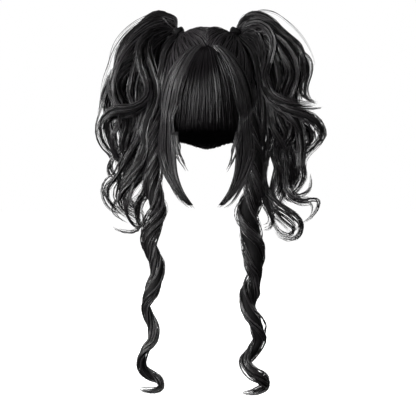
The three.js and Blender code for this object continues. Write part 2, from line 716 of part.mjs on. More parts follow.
function makeTailLock(side, row) {
  const curve = tailCurve(side, row.fan, row.depth);
  const heart = tailCurve(side, 0.4, 0);
  const { middle } = tiePlace(side);
  const points = [];
  const facing = [];
  const widths = [];
  const thicknesses = [];
  for (let j = 0; j <= lockSteps; j += 1) {
    const share = row.length * j / lockSteps;
    const point = curve.getPoint(share);
    const out = point.clone().sub(heart.getPoint(share)).setZ(0);
    out.add(new THREE.Vector3(sides[side] * 2, 0, 0)).normalize();
    const fallen = middle.z - point.z;
    const swing = tailWave * row.wave * smoothstep(share, 0.3, 0.62);
    const phase = 2 * Math.PI * (fallen / tailWaveLength - row.phase);
    point.x += sides[side] * swing * Math.cos(phase);
    point.y += 0.7 * swing * Math.sin(phase);
    const leave = smoothstep(share, 0.08, 0.3);
    const tip = 1 - smoothstep(j / lockSteps, tailTaper, 1) * 0.88;
    points.push(point);
    facing.push(out);
    widths.push(lerp(neckRadius * 0.9, tailLockWidth * row.width, leave) * tip);
    thicknesses.push(lerp(neckRadius * 0.7, tailLockThickness, leave) * tip);
  }
  return lockSkin(points, facing, widths, thicknesses, lockSides);
}

function makePigtail(side) {
  const locks = tailLocks[side].map((row) => makeTailLock(side, row));
  const joined = wasm.Manifold.union([makeTailCore(side), ...locks]);
  const cutters = [
    makeTie(side, seatGap),
    makeTendril(side, layerGap),
    sideLockBlock(side, layerGap),
    makeHairBlock(layerGap),
  ];
  return largestBody(cutters.reduce((left, cutter) => left.subtract(cutter), joined));
}

const wig = new THREE.Group();

function addPiece(name, solid, material) {
  const mesh = new THREE.Mesh(geometryOf(solid), material);
  mesh.name = name;
  wig.add(mesh);
}

addPiece('cap', makeCap(), capMaterial);
addPiece('fringe', makeFringe(), hairMaterial);
for (const side of Object.keys(sides)) {
  addPiece('crown_' + side, makeCrown(side), hairMaterial);
  addPiece('tie_' + side, makeTie(side), tieMaterial);
  addPiece('side_lock_' + side, makeSideLock(side), hairMaterial);
  addPiece('cheek_lock_' + side, makeCheekLock(side), hairMaterial);
  addPiece('tendril_' + side, makeTendril(side), hairMaterial);
  addPiece('pigtail_' + side, makePigtail(side), hairMaterial);
}

export default wig;
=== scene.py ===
import math

import bmesh
import bpy
import numpy as np
from mathutils import Matrix, Vector


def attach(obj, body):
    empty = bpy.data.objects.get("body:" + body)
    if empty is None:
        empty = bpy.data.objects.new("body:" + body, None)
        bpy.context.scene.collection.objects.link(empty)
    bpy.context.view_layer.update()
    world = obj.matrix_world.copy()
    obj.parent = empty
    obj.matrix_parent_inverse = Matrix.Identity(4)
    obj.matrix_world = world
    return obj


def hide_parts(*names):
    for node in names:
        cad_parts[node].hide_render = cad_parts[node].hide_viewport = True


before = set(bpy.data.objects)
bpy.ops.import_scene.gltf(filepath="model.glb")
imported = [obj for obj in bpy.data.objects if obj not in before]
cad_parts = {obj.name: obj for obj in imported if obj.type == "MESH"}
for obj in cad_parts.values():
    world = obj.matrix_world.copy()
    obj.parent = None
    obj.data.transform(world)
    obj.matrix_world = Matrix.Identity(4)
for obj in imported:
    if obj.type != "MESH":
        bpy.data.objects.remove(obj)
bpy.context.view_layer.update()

bl_info = {
    "name": "Pigtail Wig",
    "version": (1, 0, 0),
    "blender": (4, 5, 0),
    "location": "View3D > Sidebar > Wig",
    "description": "Dresses the wig's solids in combed and curled strands of near-black hair",
    "category": "Object",
}

METRE = 1000.0             # in millimetres
MILLIMETRE = 0.001         # in metres
GOLDEN_SHARE = 0.381966    # the golden angle as a share of a full turn

# The frame's own measures in millimetres: the cap's hollow, the cap, the hair layer and the ties
HOLLOW_WIDTH = 150.0
HOLLOW_DEPTH = 190.0
CROWN_RISE = 98.0
TAPER_DROP = 200.0
CAP_WALL = 2.0
CAP_DROP = 192.0
CAP_EDGE_TURN = np.array([0.0, 50.0, 95.0, 140.0, 180.0])
CAP_EDGE_DROP = np.array([0.38, 0.52, 0.76, 0.95, 1.0]) * CAP_DROP
SEAT_GAP = 0.3
LAYER_GAP = 0.9
HAIR_TOP = 11.5
HAIR_SIDE = 6.5
HAIR_FRONT = 3.5
HAIR_EDGE = 2.2
PARTING_DIP = 5.0
PARTING_SLOPE = 15.0
PARTING_SHARE = 0.5     # share of the combed hair that starts along the parting
TIE_LEAN = math.radians(31.0)
TIE_LIFT = 9.5
TIE_LENGTH = 11.0
TIE_RADIUS = 13.0
NECK_RADIUS = 7.5
NECK_FLARE = 17.0
TIE_WRAPS = 3.2            # turns that each strand takes round its tie
TIE_STRANDS = 40
TIE_STEPS = 44
TIE_STRAND = 0.42

# Which way each side lies along x
SIDES = {"left": -1.0, "right": 1.0}

# The fringe and the side locks
FRINGE_ROOT = 35.0
FRINGE_DROP = 178.0
FRINGE_HALF = 52.0
FRINGE_ROOT_HALF = 4.0
FRINGE_APEX = 7.0
FRINGE_THICKNESS = 6.0
SIDE_DROP = 304.0
SIDE_HALF = 86.0
SIDE_FORWARD = 98.0
SIDE_THICKNESS = 6.5
# Share of SIDE_DROP, inner and outer edge as shares of SIDE_HALF, inner and outer as shares of SIDE_FORWARD
SIDE_ROWS = np.array([
    (0.5, 0.64, 0.92, 0.8, 0.44),
    (0.58, 0.62, 0.93, 0.82, 0.5),
    (0.66, 0.61, 0.92, 0.86, 0.56),
    (0.74, 0.595, 0.88, 0.9, 0.66),
    (0.82, 0.56, 0.78, 0.94, 0.78),
    (0.9, 0.47, 0.6, 0.97, 0.9),
    (0.96, 0.34, 0.42, 1.0, 0.97),
    (1.0, 0.225, 0.24, 1.0, 1.0),
])

# How far a side lock's outer edge spreads and shifts, its cheek wisp as (out, forward, drop) with the
# lean of each point, and the lock at its tip as (out, drop, forward)
SIDE_SPREAD = 0.045
SIDE_SHIFT = {"left": 1.0, "right": -4.5}
CHEEK_WISP = ((54.5, 88, 178), (53.5, 89, 196), (50.0, 90, 213), (42.5, 92, 229), (31.0, 93, 244))
CHEEK_LEAN = {"left": (1.0, 1.5, 2.5, 2.5, 0.0), "right": (3.0, 6.0, 6.0, 4.0, 1.0)}
SIDE_POINTS = (
    (80.0, 207, 80), (70.0, 240, 85), (59.0, 262, 88),
    (50.0, 280, 90), (40.5, 294.5, 91), (27.0, 304.5, 92),
)

# The closed bodies under the strands: where they end, how deep they lie and how thick they are
UNDER_END = 0.97
UNDER_SINK = -2.4
UNDER_WALL = 2.6
COMBED_SINK = -1.1
COMBED_ROOT_SINK = 0.9
COMBED_WALL = 1.0
LOCK_BODY = 0.6            # the body's share of a curled lock's width

# The tendrils: how far forward they hang, their root, and the way out, drop and width of each bend
TENDRIL_FORWARD = 46.0
TENDRIL_POINTS = 260
TENDRIL_THICKNESS = 21.0
TENDRIL_ROOT = 98.0
TENDRIL_ROOT_WIDTH = 0.3
TENDRIL_TURN = math.radians(68.0)
TENDRIL_SWING = 11.0
TENDRIL_LINES = {
    "left": (
        (88.0, 170.7, 28.8), (91.4, 201.2, 33.8), (91.4, 230.0, 35.5), (93.1, 258.7, 33.8),
        (88.0, 285.8, 31.3), (82.4, 311.2, 37.2), (94.8, 340.0, 32.2), (97.8, 363.7, 27.9),
        (87.3, 390.8, 31.3), (83.6, 416.1, 22.8), (94.4, 443.2, 27.9), (103.6, 466.9, 16.1),
        (98.8, 485.5, 17.8), (90.7, 505.9, 19.5), (90.7, 526.2, 18.6), (104.6, 543.1, 14.4),
        (111.4, 560.0, 13.5), (109.3, 575.2, 15.2), (96.0, 588.8, 16.1), (79.5, 597.2, 14.4),
        (77.9, 605.7, 12.7), (94.8, 609.6, 11.0), (114.2, 607.4, 5.9),
    ),
    "right": (
        (77.9, 170.7, 30.5), (79.5, 201.2, 32.2), (82.1, 230.0, 33.8), (79.5, 258.7, 37.2),
        (75.3, 287.5, 38.9), (69.4, 312.9, 44.0), (71.9, 340.0, 45.7), (80.4, 365.4, 42.3),
        (78.5, 390.8, 42.3), (82.9, 416.1, 30.5), (72.4, 443.2, 38.1), (69.4, 465.2, 27.1),
        (76.8, 487.2, 30.5), (85.6, 507.5, 28.8), (90.2, 526.2, 22.0), (77.9, 544.8, 22.0),
        (66.5, 561.7, 23.7), (76.0, 577.8, 22.8), (92.7, 592.2, 20.3), (98.2, 605.7, 16.1),
        (83.8, 615.0, 12.7), (58.4, 617.6, 5.1),
    ),
}

# The pigtails, in millimetres where it is a length
TAIL_POINTS = 150          # points along a lock
TAIL_CURL = 13.0           # how far its curls swing forward and back
TAIL_BACK_GAP = 10.0       # how much further from the ties its twin behind them lies
TAIL_HEART = 108.0         # distance from the middle that the twins draw in to
TAIL_CORE = 104.0          # distance from the middle that all locks face away from
TAIL_BODY_WIDTH = 13       # the narrowest lock that gets a body and a twin
TAIL_BACK_SHARE = 0.72     # strands of a twin for each one in front
TAIL_BACK_STRAND = 1.35    # how much thicker they are

# The pigtails' locks: how far in front of the ties each lies, its width, its strands, and its path as
# (distance from the middle, drop below the crown), all lengths in millimetres
TAIL_LOCKS = {
    "left": (
        (8, 17, 42, (  # crest outer
            (55, -28), (66, -33), (82, -35), (97, -30), (113, -17), (131, 0), (146, 19), (155, 37), (158, 54),
            (163, 71), (171, 81), (177, 96), (183, 114), (185, 129), (189, 143)
        )),
        (34, 22, 40, (  # crest front
            (56, -16), (69, -20), (85, -16), (102, -5), (118, 10), (131, 26), (141, 42), (148, 59), (154, 74),
            (159, 88), (159, 103), (155, 119), (150, 133), (145, 152), (142, 169), (133, 188), (123, 205),
            (119, 222), (125, 239), (135, 252), (145, 266)
        )),
        (44, 18, 40, (  # inner side
            (51, 6), (59, 16), (66, 30), (71, 46), (75, 65), (80, 85), (83, 106), (87, 127), (89, 148),
            (91, 169), (91, 191), (92, 212)
        )),
        (10, 22, 40, (  # inner mid
            (54, -3), (65, 8), (74, 25), (82, 45), (87, 68), (90, 94), (92, 120), (97, 146), (101, 172),
            (102, 198), (101, 221), (105, 241), (114, 258)
        )),
        (2, 40, 50, (  # core inner
            (58, -8), (75, -8), (93, 9), (103, 35), (112, 63), (121, 93), (126, 121), (128, 151), (128, 180),
            (126, 198), (128, 215)
        )),
        (-4, 38, 46, (  # core outer
            (58, -11), (83, -22), (105, -4), (123, 18), (133, 48), (142, 78), (153, 106), (156, 132),
            (155, 159), (149, 183), (144, 204)
        )),
        (56, 15, 38, (  # sweep
            (55, -5), (71, -11), (89, -6), (102, 5), (111, 20), (116, 37), (114, 56), (109, 73), (102, 89),
            (99, 106), (104, 121), (116, 131), (133, 136), (150, 136), (161, 141), (172, 150), (178, 160),
            (181, 173), (178, 188), (171, 200), (163, 210), (153, 219), (143, 229)
        )),
        (48, 20, 42, (  # inner front
            (54, -3), (68, -8), (83, -2), (95, 9), (101, 26), (100, 42), (95, 59), (90, 75), (86, 90),
            (85, 105), (88, 125), (96, 144), (102, 162), (106, 180), (105, 199), (107, 214), (113, 227),
            (125, 240), (135, 252), (143, 263), (148, 278), (148, 295)
        )),
        (22, 22, 36, (  # inner
            (55, -4), (65, -6), (79, 5), (86, 20), (90, 39), (90, 58), (88, 79), (88, 99), (90, 120), (96, 141),
            (100, 165), (102, 187), (96, 208), (96, 229), (98, 249), (100, 267), (107, 280), (117, 291),
            (131, 299), (143, 304)
        )),
        (40, 20, 34, (  # oval outer
            (57, -10), (76, -17), (96, -4), (107, 11), (114, 28), (127, 48), (145, 61), (157, 77), (162, 93),
            (160, 110), (151, 127), (140, 145), (137, 165), (143, 183), (145, 200), (137, 216), (128, 230),
            (131, 245), (141, 258), (150, 272)
        )),
        (30, 15, 26, (  # oval inner
            (58, -9), (81, -12), (100, 2), (110, 19), (115, 40), (122, 57), (137, 69), (146, 81), (150, 94),
            (146, 108), (139, 118), (128, 126), (118, 138), (117, 155), (125, 172), (134, 189), (132, 206),
            (124, 222), (128, 239), (139, 252)
        )),
        (-6, 16, 34, (  # outer fall
            (55, -22), (67, -31), (84, -33), (100, -24), (121, -8), (136, 7), (149, 27), (156, 44), (160, 65),
            (167, 85), (174, 104), (179, 122), (177, 141), (175, 162), (169, 181), (162, 199), (155, 215),
            (151, 232), (153, 250)
        )),
        (36, 13, 26, (  # sweep under
            (57, -8), (81, -11), (101, 5), (109, 23), (106, 47), (98, 70), (95, 92), (96, 114), (109, 132),
            (129, 145), (148, 148), (165, 151), (173, 161), (172, 176), (170, 190), (162, 205), (155, 217),
            (147, 230), (143, 242)
        )),
        (24, 9, 16, (  # cross out
            (81, -18), (110, 1), (130, 28), (136, 68), (130, 110), (130, 150), (136, 176), (144, 196),
            (156, 210), (167, 223), (171, 236), (167, 247), (156, 257), (149, 267), (153, 282), (154, 296),
            (147, 306)
        )),
        (30, 9, 16, (  # ring low
            (81, -14), (107, 3), (124, 32), (124, 72), (118, 111), (124, 154), (132, 185), (142, 211),
            (152, 233), (159, 246), (171, 255), (178, 266), (180, 277), (177, 292), (169, 304), (159, 311),
            (148, 311), (138, 307)
        )),
        (14, 8, 14, (  # ring inner
            (75, -16), (99, -3), (114, 32), (117, 75), (114, 118), (119, 158), (131, 190), (140, 215),
            (147, 235), (157, 247), (168, 257), (177, 267), (178, 279), (170, 292), (158, 302), (145, 309),
            (131, 316), (119, 327)
        )),
        (40, 17, 34, (  # low mass
            (66, -9), (86, 0), (97, 20), (100, 48), (96, 79), (96, 110), (103, 139), (111, 162), (115, 179),
            (112, 198), (106, 215), (110, 231), (119, 246), (128, 260), (141, 273), (148, 287), (148, 300),
            (138, 309), (126, 315), (117, 326), (115, 336)
        )),
        (34, 10, 20, (  # bottom ring
            (67, -7), (85, 7), (94, 35), (95, 69), (96, 109), (102, 146), (108, 179), (108, 207), (113, 231),
            (121, 249), (131, 263), (139, 278), (141, 293), (140, 309), (135, 322), (126, 334), (117, 338),
            (110, 329), (108, 317), (111, 304), (121, 296)
        )),
        (20, 8, 34, (  # bottom flick
            (72, -10), (95, 6), (105, 39), (105, 78), (102, 116), (103, 151), (102, 185), (102, 220),
            (102, 251), (105, 272), (114, 289), (119, 304), (119, 322), (116, 335), (122, 343), (136, 344),
            (152, 341), (166, 332)
        )),
        (26, 14, 36, (  # cross in
            (72, -8), (94, 7), (105, 40), (105, 79), (101, 117), (103, 152), (116, 177), (132, 201), (146, 222),
            (151, 242), (152, 262), (147, 281), (137, 296), (125, 308), (117, 321)
        )),
        (38, 13, 26, (  # cross mid
            (71, -5), (94, 10), (104, 42), (104, 81), (100, 119), (102, 153), (112, 180), (126, 204),
            (138, 226), (150, 245), (162, 260), (170, 272), (170, 286), (162, 301), (150, 313), (136, 322),
            (123, 330)
        )),
        (18, 10, 26, (  # cross far
            (73, -10), (95, 6), (105, 38), (105, 78), (102, 116), (104, 151), (123, 172), (143, 196),
            (161, 215), (167, 230), (162, 244), (150, 254), (143, 268), (149, 284), (161, 296), (164, 308),
            (152, 320), (136, 329)
        )),
        (30, 12, 30, (  # low fill
            (72, -7), (94, 8), (104, 41), (104, 80), (101, 118), (103, 152), (103, 176), (101, 203), (103, 234),
            (104, 262), (110, 277), (118, 289), (123, 301), (122, 316), (120, 330), (116, 342)
        )),
        (44, 10, 24, (  # ring front
            (71, -4), (93, 11), (103, 43), (103, 82), (100, 120), (101, 154), (106, 186), (114, 210),
            (122, 233), (127, 256), (130, 276), (136, 295), (137, 311), (130, 326), (119, 334), (109, 329),
            (107, 316)
        )),
        (40, 13, 34, (  # hollow a
            (71, -3), (92, 10), (109, 34), (121, 58), (129, 83), (133, 106), (127, 124), (119, 139), (116, 160),
            (124, 184), (134, 204), (138, 224)
        )),
        (34, 15, 36, (  # hollow b
            (70, -1), (89, 19), (102, 43), (113, 67), (120, 91), (121, 113), (118, 135), (111, 156), (113, 180),
            (121, 202), (114, 202), (113, 224), (109, 245)
        )),
        (14, 6, 16, (  # edge fall
            (76, -23), (106, -18), (135, 10), (151, 41), (163, 72), (172, 100), (180, 124), (187, 143),
            (192, 162), (191, 181), (182, 199), (170, 211), (166, 220), (172, 233), (171, 249), (161, 259)
        )),
        (50, 9, 22, (  # wisp left
            (74, -3), (100, 2), (123, 23), (140, 46), (152, 70), (159, 94), (157, 117), (147, 137), (149, 159),
            (159, 180), (161, 201), (152, 219), (141, 236), (141, 255)
        )),
        (2, 15, 40, (  # crest fill
            (54, -14), (61, -23), (73, -28), (91, -22), (112, -3), (131, 27), (143, 55), (152, 86), (157, 114)
        )),
        (22, 10, 26, (  # low back
            (72, -9), (95, 6), (105, 39), (105, 79), (102, 117), (103, 151), (102, 183), (104, 211), (104, 238),
            (100, 262), (104, 279), (112, 293), (116, 306), (114, 321), (112, 337)
        )),
        (-2, 5, 3, (  # fly
            (58, -23), (82, -40), (114, -28), (144, -7), (161, 15), (169, 38), (171, 56), (168, 77)
        )),
        (30, 6, 3, (  # fly front
            (57, -12), (84, -26), (115, -14), (142, 8), (161, 37), (170, 63), (178, 83), (183, 104), (183, 128)
        )),
        (52, 12, 26, (  # sweep b
            (56, -6), (71, -12), (89, -7), (103, 5), (111, 20), (116, 37), (115, 55), (110, 72), (103, 89),
            (99, 106), (104, 121), (116, 131), (133, 138), (150, 139), (163, 146), (171, 157), (171, 173),
            (164, 193), (159, 210), (154, 224), (152, 241)
        )),
        (10, 6, 14, (  # diagonal
            (63, -6), (78, 11), (83, 42), (85, 80), (89, 117), (92, 152), (93, 187), (95, 216), (102, 234),
            (114, 249), (126, 263), (138, 275), (150, 289), (154, 303)
        )),
    ),
    "right": (
        (6, 15, 40, (  # crest outer
            (57, -20), (64, -29), (74, -34), (86, -36), (98, -33), (111, -24), (121, -15), (131, -4), (141, 5),
            (151, 13), (160, 21), (165, 31), (168, 41), (174, 50), (176, 65), (173, 79), (171, 95), (172, 109),
            (176, 120)
        )),
        (34, 18, 40, (  # crest front
            (58, -6), (68, -17), (80, -20), (94, -18), (108, -8), (121, 6), (135, 18), (145, 30), (154, 43),
            (155, 60), (152, 77), (145, 93), (140, 110), (142, 123), (154, 135), (169, 144), (184, 153),
            (196, 164), (202, 176), (195, 188), (183, 199)
        )),
        (44, 18, 40, (  # inner side
            (57, 6), (65, 17), (74, 31), (80, 47), (84, 65), (88, 85), (91, 106), (94, 127), (96, 148),
            (96, 169), (97, 191), (99, 212), (101, 233)
        )),
        (10, 22, 40, (  # inner mid
            (59, -3), (71, 9), (80, 25), (87, 46), (94, 68), (97, 94), (101, 120), (104, 146), (111, 172),
            (122, 195), (127, 216)
        )),
        (2, 40, 38, (  # core inner
            (59, -8), (77, -8), (98, 9), (110, 35), (119, 63), (126, 93), (129, 121), (131, 151), (135, 180),
            (136, 201), (140, 219)
        )),
        (-4, 38, 40, (  # core outer
            (61, -11), (86, -22), (111, -6), (130, 13), (142, 39), (146, 69), (147, 97), (151, 124), (156, 150),
            (158, 178), (156, 208), (153, 233), (151, 257), (149, 282)
        )),
        (44, 22, 44, (  # sweep top
            (58, -4), (68, -15), (81, -18), (93, -14), (103, -3), (110, 11), (113, 26), (110, 42), (105, 57),
            (99, 71), (98, 87), (102, 102), (110, 115), (123, 123), (140, 128), (157, 130), (175, 131),
            (196, 129)
        )),
        (42, 20, 44, (  # sweep
            (59, -1), (71, -8), (83, -5), (92, 9), (95, 24), (97, 41), (95, 57), (92, 75), (95, 94), (104, 111),
            (115, 125), (131, 135), (148, 140), (165, 145), (179, 152), (190, 163), (196, 176), (193, 188),
            (182, 199), (172, 207), (165, 220), (163, 237), (165, 252)
        )),
        (40, 22, 40, (  # inner front
            (61, 0), (75, 4), (85, 17), (90, 34), (92, 51), (90, 68), (92, 83), (100, 100), (110, 119),
            (126, 136), (143, 150), (155, 160), (158, 174), (160, 187), (161, 201), (160, 214), (160, 230),
            (165, 245), (161, 260), (153, 274), (141, 284)
        )),
        (18, 18, 34, (  # inner
            (62, -1), (73, 6), (81, 21), (86, 40), (92, 59), (93, 82), (100, 102), (109, 125), (114, 146),
            (117, 166), (123, 187), (124, 208), (126, 225), (130, 241), (131, 256), (128, 272), (119, 284),
            (111, 299)
        )),
        (-8, 18, 34, (  # outer fall
            (60, -21), (70, -30), (86, -33), (104, -28), (118, -18), (130, -5), (143, 7), (155, 19), (162, 35),
            (165, 53), (164, 70), (158, 88), (155, 104), (157, 121), (162, 137), (162, 155), (162, 173),
            (162, 190), (164, 208), (169, 225), (172, 243)
        )),
        (40, 18, 34, (  # mid front
            (59, -4), (73, -14), (90, -16), (105, -6), (115, 10), (122, 25), (130, 41), (139, 55), (145, 70),
            (143, 87), (136, 103), (132, 118), (136, 135), (145, 151), (147, 168), (142, 183), (133, 197),
            (132, 213), (139, 227), (145, 242), (140, 258), (130, 271)
        )),
        (30, 18, 32, (  # mid mass
            (60, -5), (76, -9), (93, -2), (104, 15), (112, 35), (116, 57), (120, 80), (124, 103), (130, 124),
            (139, 144), (140, 164), (133, 181), (123, 197), (119, 214), (124, 229), (132, 245), (131, 260),
            (124, 275), (127, 289), (136, 300)
        )),
        (22, 16, 30, (  # right fall
            (58, -9), (79, -23), (102, -18), (119, 0), (134, 18), (145, 41), (150, 67), (146, 91), (145, 113),
            (152, 136), (157, 156), (158, 175), (164, 191), (167, 206), (165, 222), (169, 239), (169, 254),
            (160, 268), (150, 279), (138, 287)
        )),
        (0, 5, 9, (  # loop small
            (75, -34), (104, -28), (130, -9), (150, 8), (165, 29), (176, 39), (183, 49), (184, 64), (180, 78),
            (176, 93), (178, 107), (185, 116), (191, 116)
        )),
        (26, 11, 28, (  # flick
            (67, -3), (88, 11), (101, 38), (112, 76), (122, 114), (132, 152), (139, 186), (139, 213),
            (136, 237), (134, 258), (139, 274), (151, 286), (165, 289), (180, 286), (191, 289), (192, 299),
            (187, 311), (177, 322), (163, 330)
        )),
        (14, 11, 24, (  # flick up
            (68, -6), (88, 8), (102, 36), (113, 74), (123, 112), (133, 150), (140, 185), (147, 213), (147, 237),
            (145, 258), (147, 272), (156, 281), (168, 278), (178, 270), (181, 258), (179, 242)
        )),
        (8, 9, 20, (  # flick curl
            (68, -7), (89, 7), (103, 35), (113, 73), (124, 111), (134, 150), (141, 184), (155, 209), (160, 228),
            (158, 247), (148, 264), (148, 278), (162, 287), (178, 287), (190, 294)
        )),
        (36, 12, 32, (  # ring
            (67, 3), (83, 18), (92, 47), (99, 81), (106, 115), (112, 149), (114, 177), (102, 204), (99, 228),
            (97, 252), (102, 272), (111, 287), (123, 299), (136, 308), (148, 318), (159, 330), (160, 342),
            (152, 354), (136, 356), (123, 349), (114, 337)
        )),
        (24, 9, 22, (  # ring wide
            (67, 0), (84, 15), (93, 45), (100, 79), (107, 114), (113, 148), (115, 176), (120, 203), (120, 229),
            (113, 255), (110, 275), (117, 291), (129, 301), (144, 310), (157, 320), (165, 334), (163, 349),
            (151, 359), (134, 356)
        )),
        (30, 12, 30, (  # ring inner
            (67, 1), (84, 17), (93, 46), (99, 80), (106, 114), (113, 149), (115, 176), (104, 207), (98, 231),
            (96, 255), (101, 275), (108, 293), (116, 308), (127, 320), (139, 330), (149, 339), (146, 347),
            (134, 346), (122, 337), (116, 325)
        )),
        (40, 9, 20, (  # ring left
            (66, 4), (83, 19), (92, 48), (99, 82), (105, 116), (112, 150), (114, 177), (102, 208), (95, 235),
            (94, 259), (97, 279), (102, 296), (109, 311), (114, 325), (112, 337), (105, 342), (99, 338)
        )),
        (16, 9, 24, (  # river
            (68, -2), (85, 14), (93, 43), (100, 78), (107, 113), (114, 147), (116, 175), (104, 202), (100, 234),
            (99, 261), (104, 284), (112, 301), (126, 311), (142, 322), (152, 334), (151, 348), (137, 355),
            (121, 346), (112, 334)
        )),
        (4, 7, 16, (  # river back
            (68, -4), (85, 11), (94, 41), (101, 76), (108, 111), (115, 146), (117, 174), (126, 202), (124, 230),
            (119, 257), (115, 278), (122, 294), (136, 303), (152, 311), (161, 325), (159, 339), (145, 348)
        )),
        (18, 9, 20, (  # flick low
            (67, -5), (88, 9), (102, 37), (112, 75), (123, 113), (133, 151), (140, 185), (136, 213), (133, 237),
            (133, 260), (140, 277), (156, 291), (171, 292), (180, 298), (181, 308), (176, 320), (164, 329)
        )),
        (40, 13, 34, (  # hollow a
            (68, 0), (87, 7), (104, 26), (117, 48), (124, 72), (124, 95), (117, 118), (109, 136), (107, 157),
            (116, 177), (129, 197), (136, 218), (131, 238)
        )),
        (34, 15, 36, (  # hollow b
            (68, -1), (94, 1), (116, 19), (131, 42), (137, 65), (133, 89), (125, 111), (121, 134), (128, 156),
            (138, 180), (135, 204), (126, 228), (130, 251)
        )),
        (16, 10, 34, (  # side tip
            (74, -19), (106, -22), (131, 2), (152, 26), (166, 47), (168, 69), (163, 88), (163, 105), (173, 116),
            (187, 118)
        )),
        (4, 9, 28, (  # side curl
            (75, -25), (110, -24), (138, 3), (159, 27), (173, 48), (176, 71), (171, 90), (171, 106), (180, 118),
            (192, 121)
        )),
        (50, 9, 22, (  # wisp right
            (71, -1), (96, -1), (122, 16), (140, 40), (150, 63), (152, 87), (144, 109), (133, 127), (137, 148),
            (150, 166), (159, 186), (154, 207), (145, 225)
        )),
        (2, 15, 40, (  # crest fill
            (54, -14), (63, -24), (77, -30), (94, -28), (114, -14), (133, 9), (149, 35), (156, 62), (157, 90)
        )),
        (30, 14, 32, (  # flick feed
            (67, -2), (87, 12), (101, 39), (111, 77), (122, 114), (132, 152), (139, 186), (132, 214),
            (132, 238), (134, 260), (139, 277), (149, 291), (163, 295), (178, 293)
        )),
        (-2, 4, 2, (  # fly
            (60, -20), (86, -41), (114, -39), (145, -18), (170, 10), (184, 36), (191, 61)
        )),
        (40, 11, 22, (  # sweep in
            (60, -2), (71, -8), (83, -5), (92, 9), (95, 24), (97, 41), (95, 56), (92, 75), (95, 94), (104, 111),
            (116, 124), (131, 134), (148, 141), (161, 150), (175, 162), (182, 175), (179, 189), (168, 201),
            (163, 216), (165, 235)
        )),
        (34, 6, 12, (  # ring cross
            (67, 2), (84, 18), (92, 47), (99, 81), (106, 115), (113, 149), (114, 176), (102, 204), (97, 231),
            (97, 258), (99, 282), (104, 303), (113, 318), (125, 328), (137, 339), (145, 349), (155, 357)
        )),
        (12, 6, 12, (  # ring tail
            (68, -6), (88, 8), (102, 36), (113, 74), (123, 112), (134, 150), (140, 185), (139, 213), (137, 240),
            (137, 268), (130, 287), (120, 303), (114, 318), (118, 334), (128, 348), (144, 353), (161, 351)
        )),
        (20, 16, 28, (  # knot
            (67, -4), (88, 10), (102, 37), (112, 75), (123, 113), (133, 151), (140, 185), (147, 203),
            (152, 229), (152, 249), (143, 267), (136, 280), (133, 294)
        )),
        (4, 14, 22, (  # knot b
            (68, -8), (89, 6), (103, 34), (113, 72), (124, 111), (134, 149), (141, 184), (138, 205), (134, 230),
            (133, 250), (136, 268), (141, 280), (145, 289)
        )),
        (12, 12, 22, (  # side mass
            (59, -11), (69, -22), (82, -25), (95, -23), (109, -13), (123, 1), (137, 13), (148, 25), (158, 41),
            (165, 58), (167, 77), (165, 95), (170, 108), (182, 117)
        )),
        (30, 13, 30, (  # low tip
            (67, 1), (84, 17), (93, 46), (99, 80), (106, 114), (113, 149), (115, 176), (103, 203), (98, 231),
            (96, 258), (98, 280), (103, 301), (111, 315), (114, 327), (108, 338), (98, 342)
        )),
    ),
}


def lerp(a, b, share):
    return a + (b - a) * share


def smoothstep(x, low, high):
    share = np.clip((x - low) / (high - low), 0.0, 1.0)
    return share * share * (3.0 - 2.0 * share)


def unit(vectors):
    return vectors / np.maximum(np.linalg.norm(vectors, axis=-1, keepdims=True), 1e-9)


def on_hollow(way, out):
    """Points of the cap's hollow in directions from its middle, moved out by a distance in millimetres."""
    rise = np.where(way[..., 2] > 0, CROWN_RISE, TAPER_DROP)
    x = way[..., 0] * (HOLLOW_WIDTH / 2 + out)
    y = way[..., 1] * (HOLLOW_DEPTH / 2 + out)
    z = way[..., 2] * (rise + out) - CROWN_RISE
    return np.stack([x, y, z], -1)


def level_direction(turn, drop):
    """The direction whose point of the hollow lies that far below the crown."""
    up = np.where(drop < CROWN_RISE, (CROWN_RISE - drop) / CROWN_RISE, (CROWN_RISE - drop) / TAPER_DROP)
    flat = np.sqrt(1.0 - up * up)
    return np.stack([np.sin(turn) * flat, -np.cos(turn) * flat, up + 0.0 * turn], -1)


def cap_edge_drop(turn):
    """How far below the crown the cap's edge lies, turned round from the front."""
    degrees = np.degrees(turn)
    upper = np.clip(np.searchsorted(CAP_EDGE_TURN, degrees), 1, len(CAP_EDGE_TURN) - 1)
    share = smoothstep(degrees, CAP_EDGE_TURN[upper - 1], CAP_EDGE_TURN[upper])
    return lerp(CAP_EDGE_DROP[upper - 1], CAP_EDGE_DROP[upper], share)


def front_direction(x, drop):
    """The direction of a point in front of the hollow, from its reach to the side and its drop."""
    stand = CAP_WALL + HAIR_SIDE + LAYER_GAP
    rise = np.where(drop < CROWN_RISE, CROWN_RISE, TAPER_DROP)
    nx = x / (HOLLOW_WIDTH / 2 + stand)
    nz = (CROWN_RISE - drop) / (rise + stand)
    return unit(np.stack([nx, -np.sqrt(np.maximum(0.02, 1 - nx * nx - nz * nz)), nz + 0.0 * nx], -1))


def hair_out(way):
    """How far the hair layer's outside lies from the hollow."""
    top = smoothstep(way[..., 2], 0.35, 0.95)
    front = smoothstep(-way[..., 1], 0.35, 0.8) * (1 - top)
    return CAP_WALL + SEAT_GAP + lerp(lerp(HAIR_SIDE, HAIR_FRONT, front), HAIR_TOP, top)


def slerp(a, b, share):
    angle = np.arccos(np.clip((a * b).sum(-1, keepdims=True), -1.0, 1.0))
    return (np.sin((1 - share) * angle) * a + np.sin(share * angle) * b) / np.sin(angle)


def tie_place(side):
    """A tie's axis, the seat on the hair below it and its middle."""
    axis = np.array([SIDES[side] * math.sin(TIE_LEAN), 0.0, math.cos(TIE_LEAN)])
    seat = on_hollow(axis, hair_out(axis))
    return axis, seat, seat + axis * TIE_LIFT


